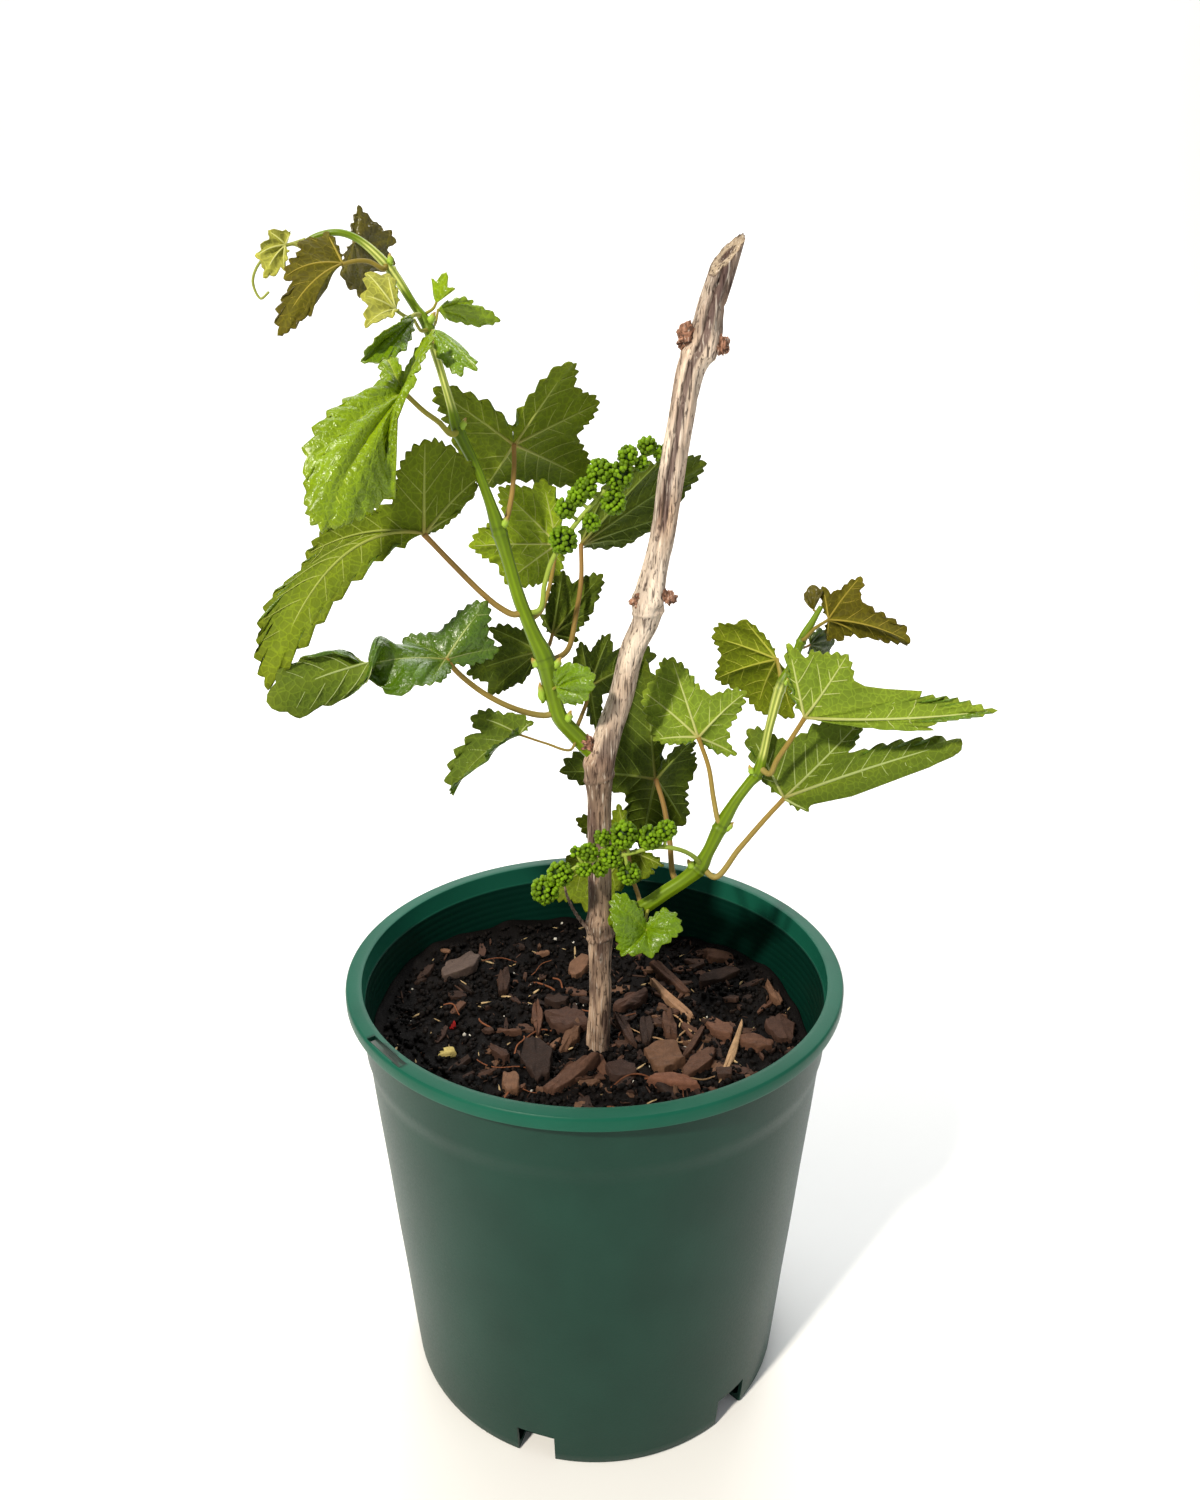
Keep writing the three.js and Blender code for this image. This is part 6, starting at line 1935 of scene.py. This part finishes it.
LOWER_STALK = (
    (41, -6, 225, 1.2), (40, -9, 229, 1), (36, -13, 234, 0.9), (30, -17, 238, 0.9),
    (23, -18, 239, 0.9), (12, -18, 236, 0.8), (-2, -18, 233, 0.8), (-13, -18, 227, 0.7),
    (-20, -18, 222, 0.6),
)
LOWER_HEADS = (
    (-19, -18, 221, 5), (-13, -18, 228, 4.6), (-7, -18, 237, 2.3), (-2, -18, 237, 3.4),
    (3, -18, 243, 3), (-4, -18, 230, 3), (2, -18, 230, 3), (6, -18, 235, 4.2),
    (11, -18, 244, 4.9), (13, -18, 228, 4.2), (21, -18, 243, 4.5), (27, -18, 246, 3.7),
)
CANE_BUDS = (
    ((27, -2, 331), (2.7, 2.4, 3.2), -25), ((16, -1.5, 329.5), (2.8, 2.6, 3.2), 25),
    ((43, -2.2, 416.5), (2.3, 2.2, 2.8), -25), ((31.4, -1.5, 419.3), (3.6, 3, 4.2), 25),
    ((-2.5, -2, 275), (3, 3, 2.6), 30),
)
LEFT_BUDS = (
    ((-9.5, -5.5, 286.5), (1.5, 1.5, 2.6), 20), ((-13.5, -5.5, 307), (1.6, 1.5, 2.6), 30),
    ((-21.5, -4.5, 307), (1.7, 1.5, 2.2), -40), ((-19.6, -4.5, 295.5), (1.5, 1.5, 4), -8),
    ((-31.5, -1, 357.5), (1.3, 1.3, 2.4), 25),
    ((-45, -1, 391), (1.2, 1.2, 2.3), 25), ((-54, -1, 425), (1.3, 1.3, 2.2), 30),
    ((-67, 0, 443), (1.1, 1.1, 2), 0),
)
RIGHT_BUDS = (
    ((37.5, -7, 226.5), (1.5, 1.5, 2.4), -30), ((52, -6, 242), (1.3, 1.3, 2.4), 40),
    ((59.5, -5, 265), (1.2, 1.2, 2.2), -20), ((71.5, -2, 299), (1.1, 1.1, 2), 30),
)
CHIPS = (
    ((-60, 40), (24, 13, 5), 48, 4), ((-41, 35), (16, 6, 5), 90, 10), ((-25, 14), (23, 4.5, 4), 95, 8),
    ((-13, 15), (19, 17, 6), 8, -4), ((-10, 5), (22, 6, 5), 68, 14), ((-24, -14), (27, 13, 7), 100, 3),
    ((-10, -24), (29, 8, 6), 48, 5), ((-60, -15), (8, 5, 3), 10, 6), ((-39, 3), (18, 3, 3), -3, 3),
    ((10, -19), (14, 10, 5), 10, -6), ((29, -11), (19, 19, 7), 4, 4), ((31, -27), (21, 6, 5), -18, 3),
    ((43, -14), (22, 9, 5), 48, 5), ((57, -9), (36, 3.5, 3.5), 70, 7), ((68, -4), (14, 9, 5), 0, -6),
    ((79, 4), (17, 13, 5), 100, 5), ((79, 25), (17, 4, 4), 110, 6), ((56, 41), (24, 8, 5), 25, 4),
    ((35, 43), (30, 6, 5), -60, -3), ((35, 27), (40, 4, 4), -60, -3), ((58, 57), (15, 8, 5), -20, -8),
    ((16, 29), (19, 8, 6), 35, 6), ((-7, 52), (18, 8, 5), 60, 8), ((22, 8), (19, 7, 5), 90, 3),
    ((32, 9), (19, 7, 6), 95, 6), ((13, 9), (26, 5, 5), -71, -8), ((54, 7), (16, 9, 5), -50, 4),
    ((-39, -12), (14, 6, 5), -50, 5), ((-33, -32), (14, 8, 5), 100, 4), ((-17, 28), (12, 7, 5), -20, 4),
    ((42, -1), (27, 4, 4), 65, 5), ((52, -22), (8, 8, 4), 0, 5), ((-60, 3), (2.8, 2.8, 3.4), 0, 0),
)
# Chips whose colour stands out, by their number in the list above.
CHIP_COLOURS = {0: "#54463f", 7: "#a8985c", 9: "#3a2a24", 11: "#6b4838", 13: "#a38463", 19: "#8a6a50",
                32: "#8c1c1c"}

LEAVES = (
    LeafSpec("leaf_low_hanging", "underside", LeafTint.HALF_SHADE, (-27, -16, 283),
        ((4, 2, 4), (-17, 2, 6), (-24, -10, -19), (-10, -9, -4), (-4, -6, 1)),
        (0.6, 0.4, 0.42, 0.5, 0.6), 0.45, (-2, 0, 3), 2.4, 5, 0.5, ((-18, -11, 278), (-9, -7, 274)),
        quilt=0.6,
        reach=(80, 80, 80, 83, 98, 115, 135, 115, 103, 115, 139, 115, 100, 107, 127, 115, 103, 115, 160,
            115, 103, 115, 160, 160, 160)),
    LeafSpec("leaf_low_twisted", "leaf", LeafTint.HALF_SHADE, (-52, -22, 313),
        ((-3, -18, -4), (-54, -30, -6), (-15, 8, 5), (14, 10, 18), (17, 10, 1)),
        (0.6, 0.46, 0.45, 0.5, 0.6), 0.45, (0, 0, 2), 2.6, 6, 1.1,
        ((-47, -19, 306), (-38, -14, 297), (-27, -9, 290), (-18, -5, 287)), bends={1: (0, 0, 5)},
        rolls={1: (-230, 0.2, 0.6)}),
    LeafSpec("leaf_long_drooping", "underside", LeafTint.MATT, (-58, -18, 356),
        ((9, 16, 4), (16, 16, 16), (2, 0, 30), (-39, -8, -6), (-50, -30, -48)),
        (0.6, 0.6, 0.6, 0.45, 0.44), 0.6, (0, 0, 3), 2.8, 8, 1.1,
        ((-50, -14, 346), (-40, -9, 334), (-34, -6, 328), (-29, -4, 325)), quilt=0.6,
        bends={3: (0, 0, 4), 4: (-3, 0, 16)},
        reach=(64, 64, 64, 75, 85, 111, 113, 104, 103, 115, 126, 109, 99, 88, 65, 76, 95, 104, 100, 99,
            98, 75, 40, 40, 40)),
    LeafSpec("leaf_glossy", "leaf", LeafTint.GLOSSY, (-61, -24, 402),
        ((10, 2, 18), (-3, -18, -28), (-21, -36, -39), (-25, -28, -21), (-7, 10, 13)),
        (0.4, 0.4, 0.5, 0.36, 0.4), 0.2, (-1, -6, 2), 2.2, 6, 0.95,
        ((-56, -17, 396), (-52, -10, 392), (-49, -5, 388)), quilt=2.1, bends={1: (-3, -5, 1)},
        reach=(160, 160, 151, 115, 103, 99, 83, 75, 85, 81, 89, 94, 99, 100, 99, 97, 91, 94, 131, 111,
            99, 115, 160, 160, 160)),
    LeafSpec("leaf_upper_back", "underside", LeafTint.MATT, (-29, 18, 383),
        ((-26, -10, 19), (-13, 14, -18), (25, 30, -15), (29, 12, 13), (20, -4, 27)),
        (0.5, 0.5, 0.5, 0.42, 0.42), 0.7, (0, 4, 0), 2.4, 6, 0.95,
        ((-29, 14, 374), (-30, 9, 364), (-32, 4, 357)), swing=70,
        reach=(160, 150, 129, 108, 101, 99, 96, 93, 87, 87, 93, 106, 103, 102, 103, 106, 102, 107, 115,
            115, 103, 115, 157, 160, 160)),
    LeafSpec("leaf_behind_flowers", "underside", LeafTint.LIT, (-14, 24, 346),
        ((-5, -2, 24), (-21, 4, 20), (-34, 14, -3), (-21, 18, -18), (-2, 8, -15)), (0.5,) * 5, 0.6,
        (0, 3, 0), 2.2, 5, 0.8, ((-16, 18, 335), (-18, 8, 328), (-20, 4, 324))),
    LeafSpec("leaf_behind_cane", "dark", LeafTint.DEEP_SHADE, (-5, 30, 345),
        ((17, 16, -1), (36, 22, 8), (48, 16, 29), (27, 2, 28), (8, 4, 17)), (0.4,) * 5, 0.5, (0, 4, 0),
        2.2, 5, 1, ((-5, 25, 332), (-7, 16, 320), (-10, 7, 309))),
    LeafSpec("leaf_dark_inner", "dark", LeafTint.DEEP_SHADE, (-16, 14, 313),
        ((9, 4, -3), (13, 10, 6), (19, 16, 20), (4, 12, 22), (-4, 6, 6)), (0.36,) * 5, 0.6, (0, 3, 0), 2,
        5, 0.8, ((-17, 6, 311),)),
    LeafSpec("leaf_dark_left", "dark", LeafTint.DEEP_SHADE, (-21, 12, 307),
        ((-2, 6, 8), (-19, 9, 7), (-28, 5, -10), (-19, 4, -17), (-6, -2, -10)), (0.36,) * 5, 0.6,
        (0, 3, 0), 2.2, 5, 0.7, ((-18, 5, 307),), quilt=0.3),
    LeafSpec("leaf_dark_centre", "dark", LeafTint.DEEP_SHADE, (-2, 16, 292),
        ((3, 10, -21), (27, 28, 5), (8, 14, 17), (-3, 4, 16), (-8, -2, 5)), (0.38,) * 5, 0.55, (0, 3, 0),
        2.4, 5, 0.8, ((-3, 12, 287), (-5, 6, 283))),
    LeafSpec("leaf_bright_bud", "leaf", LeafTint.BRIGHT, (-14, -9, 299),
        ((1, -1, 6), (7, -5, 9), (14, -9, 7), (11, -7, -2), (3, -2, -5)), (0.6,) * 5, 0.7, (0, -1, 1),
        1.2, 3, 0.6, ((-16, -5, 297),)),
    LeafSpec("leaf_silvery", "underside", LeafTint.SILVER, (-64, -12, 427),
        ((-3, 6, 11), (-9, 2, 11), (-9, -4, 4), (-8, -10, -5), (0, -8, -2)), (0.5,) * 5, 0.75,
        (0, -2, 1), 1.8, 5, 0.7, ((-61, -8, 425), (-59, -4, 426)), quilt=0.6),
    LeafSpec("leaf_small_drooping", "underside", LeafTint.BRIGHT, (-58, -14, 424),
        ((-1, -11, -7), (-7, -18, -10), (-13, -22, -12), (-8, -18, -5), (-1, -14, 0)), (0.35,) * 5, 0.5,
        (0, 0, 1), 1.6, 3, 0.6, ((-57, -7, 421),), swing=20, quilt=0.6),
    # These two lateral leaves take the lighter GLOSSY tint as painted light, for the sun that falls on them.
    LeafSpec("leaf_lateral_curl", "underside", LeafTint.GLOSSY, (-53, 4, 430),
        ((-1, 2, 3), (-1, 0, 7), (4, -2, 9), (7, -4, 4), (3, -2, 2)), (0.4,) * 5, 0.8, (0, 0, 0), 1, 3,
        0.5, ((-54, 2, 428),), swing=5, quilt=0.3),
    LeafSpec("leaf_lateral_long", "underside", LeafTint.GLOSSY, (-53, 8, 428),
        ((3, 2, 3), (11, 7, 3), (20, 11, -3), (11, 8, -4), (2, 2, -3)), (0.25,) * 5, 0.3, (0, 0, 1), 1.2,
        3, 0.5, ((-54, 4, 423),), swing=40, quilt=0.6),
    LeafSpec("leaf_lateral_low", "underside", LeafTint.LIT, (-53, -8, 421),
        ((4, 0, -1), (9, -4, -5), (15, -10, -12), (10, -12, -14), (2, -6, -7)), (0.25,) * 5, 0.4,
        (0, 0, 1), 1.2, 3, 0.6, ((-53, -5, 418),), swing=20, quilt=0.6),
    LeafSpec("leaf_tip_hanging", "underside", LeafTint.BRONZE, (-81, -8, 441),
        ((-6, 6, 10), (-16, -9, -4), (-17, -21, -22), (-7, -14, -13), (-4, -5, -6)),
        (0.4, 0.4, 0.3, 0.3, 0.4), 0.6, (-1, -1, 3), 1.8, 5, 0.75,
        ((-77, -7, 442), (-73, -5, 442), (-69, -3, 440)), swing=50, quilt=0,
        reach=(81, 81, 81, 81, 93, 115, 136, 115, 103, 108, 104, 97, 99, 100, 94, 79, 85, 81, 94, 113,
            103, 115, 160, 160, 160)),
    LeafSpec("leaf_tip_end", "underside", LeafTint.SILVER, (-100, -3, 447),
        ((2, 1, 4), (-5, -1, 4), (-9, -5, -4), (-7, -7, -12), (0, -5, -8)), (0.5,) * 5, 0.75, (0, -2, 1),
        1.6, 3, 0.6, ((-98, -2, 447.5),), swing=25,
        reach=(160, 160, 153, 115, 92, 75, 61, 75, 85, 76, 82, 80, 90, 92, 81, 76, 86, 89, 78, 75, 85,
            97, 142, 159, 160)),
    LeafSpec("leaf_tip_back", "underside", LeafTint.BRONZE, (-80, 7, 449),
        ((2, 3, 11), (13, 9, 1), (11, 11, -6), (-1, 9, -17), (-6, 5, -10)), (0.45,) * 5, 0.5, (0, 2, 0),
        1.8, 5, 0.6, ((-79, 4, 449),),
        reach=(160, 139, 113, 87, 97, 115, 141, 110, 94, 84, 83, 90, 97, 108, 120, 105, 95, 89, 97, 99,
            91, 76, 60, 70, 160)),
    LeafSpec("leaf_pot_front", "leaf", LeafTint.BRIGHT, (20, -15, 202),
        ((7, 3, 8), (14, -3, 2), (2, -9, -7), (-10, -9, -6), (-12, 1, 14)), (0.6,) * 5, 0.8, (0, -3, 1),
        1.8, 5, 0.7, ((20, -12, 205), (21, -8, 208)),
        reach=(160, 131, 91, 75, 97, 115, 110, 99, 92, 84, 79, 77, 85, 80, 79, 81, 91, 107, 125, 115,
            103, 113, 133, 139, 139)),
    LeafSpec("leaf_pot_back", "underside", LeafTint.MATT, (14, 20, 220),
        ((-4, 8, 17), (-21, 10, 10), (-35, 10, -25), (-17, 0, -27), (14, -6, -4)), (0.4,) * 5, 0.55,
        (0, 3, 0), 2.2, 5, 0.9, ((15, 10, 214), (18, 0, 207))),
    LeafSpec("leaf_dark_cane", "dark", LeafTint.DEEP_SHADE, (25, 22, 251),
        ((-4, 20, 45), (-38, 22, -5), (-4, 24, -42), (13, 14, -25), (15, 0, 17)), (0.42,) * 5, 0.5,
        (0, 3, 0), 2.6, 6, 1.1, ((28, 16, 242), (30, 6, 231), (31, -2, 220)),
        reach=(160, 136, 70, 75, 99, 115, 128, 114, 103, 104, 98, 100, 101, 102, 105, 103, 98, 95, 93,
            98, 103, 115, 65, 54, 72)),
    LeafSpec("leaf_pale_centre", "underside", LeafTint.PALE, (40, 4, 275),
        ((15, 0, -7), (17, 2, 17), (-10, 16, 28), (-19, 18, 12), (-19, 8, -4)),
        (0.42, 0.45, 0.45, 0.42, 0.5), 0.66, (0, 3, 0), 2.6, 6, 1,
        ((44, 1, 264), (46, -3, 252), (48, -6, 244)),
        reach=(160, 97, 111, 115, 97, 81, 73, 88, 99, 105, 98, 81, 95, 111, 119, 114, 103, 108, 115, 103,
            85, 75, 67, 73, 79)),
    LeafSpec("leaf_right_long", "underside", LeafTint.HALF_SHADE, (73, -4, 253),
        ((7, -6, -2), (17, -16, 11), (52, -42, 38), (27, -4, 34), (-13, 8, 24)),
        (0.5, 0.4, 0.27, 0.42, 0.5), 0.45, (0, -2, 0), 2.8, 6, 1.1,
        ((66, -5, 245), (56, -7, 233), (47, -9, 222)), swing=45, quilt=0, bends={2: (0, -2, 2)},
        reach=(91, 91, 91, 93, 97, 84, 63, 75, 94, 102, 99, 100, 97, 82, 78, 91, 103, 115, 146, 115, 103,
            115, 127, 129, 129)),
    LeafSpec("leaf_right_top", "underside", LeafTint.PALE, (76, -18, 290),
        ((31, -32, 6), (51, -48, 18), (27, -24, 15), (12, -8, 26), (-6, 6, 25)),
        (0.35, 0.24, 0.4, 0.5, 0.5), 0.66, (0, -2, -1), 2.6, 6, 1,
        ((72, -14, 280), (68, -11, 271), (66, -9, 265)), swing=35,
        reach=(71, 71, 71, 75, 85, 75, 69, 75, 97, 90, 85, 75, 85, 84, 88, 86, 89, 88, 91, 97, 101, 115,
            114, 110, 110)),
    LeafSpec("leaf_yellow_back", "underside", LeafTint.LIME, (70, 12, 304),
        ((-14, 2, 16), (-25, 8, 7), (-22, 14, -12), (-4, 14, -22), (9, 6, -26)), (0.5,) * 5, 0.85,
        (0, 3, 0), 2.2, 5, 0.8, ((70, 5, 301), (70, 0, 299)), swing=40,
        reach=(83, 83, 83, 83, 87, 100, 101, 96, 90, 86, 90, 90, 92, 96, 99, 100, 103, 109, 113, 107, 96,
            79, 74, 74, 74)),
    LeafSpec("leaf_bronze_tip", "bronze", LeafTint.BRONZE, (86, 0, 322),
        ((1, 4, -10), (11, -4, -5), (24, -20, -3), (10, -2, 16), (-2, 4, 11)),
        (0.4, 0.3, 0.3, 0.35, 0.4), 0.62, (0, -1, 2), 1.8, 5, 0.7, ((81, -1, 319), (77, -2, 315)),
        swing=45,
        reach=(160, 109, 60, 75, 85, 102, 102, 97, 94, 105, 116, 109, 100, 115, 145, 115, 99, 84, 92,
            101, 100, 114, 141, 157, 160)),
    LeafSpec("leaf_bronze_bud", "bronze", LeafTint.BRONZE, (81, 3, 325),
        ((-2, 1, 2), (-3, 1, 5), (-1, 0, 9), (2, -1, 7), (1, -1, 3)), (0.6,) * 5, 0.8, (0, 0, 0), 0.8, 3,
        0.5, ((82, 1, 324),), swing=30),
    LeafSpec("leaf_dark_right", "dark", LeafTint.DEEP_SHADE, (81, 6, 311),
        ((1, 2, 4), (6, 4, 4), (10, 6, 0), (8, 6, -5), (2, 3, -5)), (0.6,) * 5, 0.8, (0, 1, 0), 1.2, 3,
        0.5, ((78, 2, 311),)),
)


def main() -> None:
    """Builds the sub-assemblies in order."""
    logging.basicConfig(level=logging.INFO, format="%(name)s %(message)s")
    Studio().build()
    pot = Pot()
    pot.build()
    PottingMix(pot).build()
    Cane(CANE, CANE_BUDS).build()
    left = Shoot("shoot_left", SHOOT_LEFT, LEFT_BUDS, pale=((394, 414), (432, 446)), tendril=TENDRIL)
    right = Shoot("shoot_right", SHOOT_RIGHT, RIGHT_BUDS, pale=((268, 296),))
    left.build()
    right.build()
    stems = np.vstack([shoot.middle_line(240)[:, :3] for shoot in (left, right)])
    dressings = [finish.build() for finish in (LEAF_UPPER, LEAF_UNDER, LEAF_VEIN, PETIOLE)]
    for spec in LEAVES:
        Leaf(spec, stems).build(dressings)
    buds = [FLOWER_BUD.build(), dressings[3]]
    FlowerCluster("flower_cluster_upper", UPPER_STALK, UPPER_HEADS).build(buds)
    FlowerCluster("flower_cluster_lower", LOWER_STALK, LOWER_HEADS).build(buds)


if __name__ == "__main__":
    main()
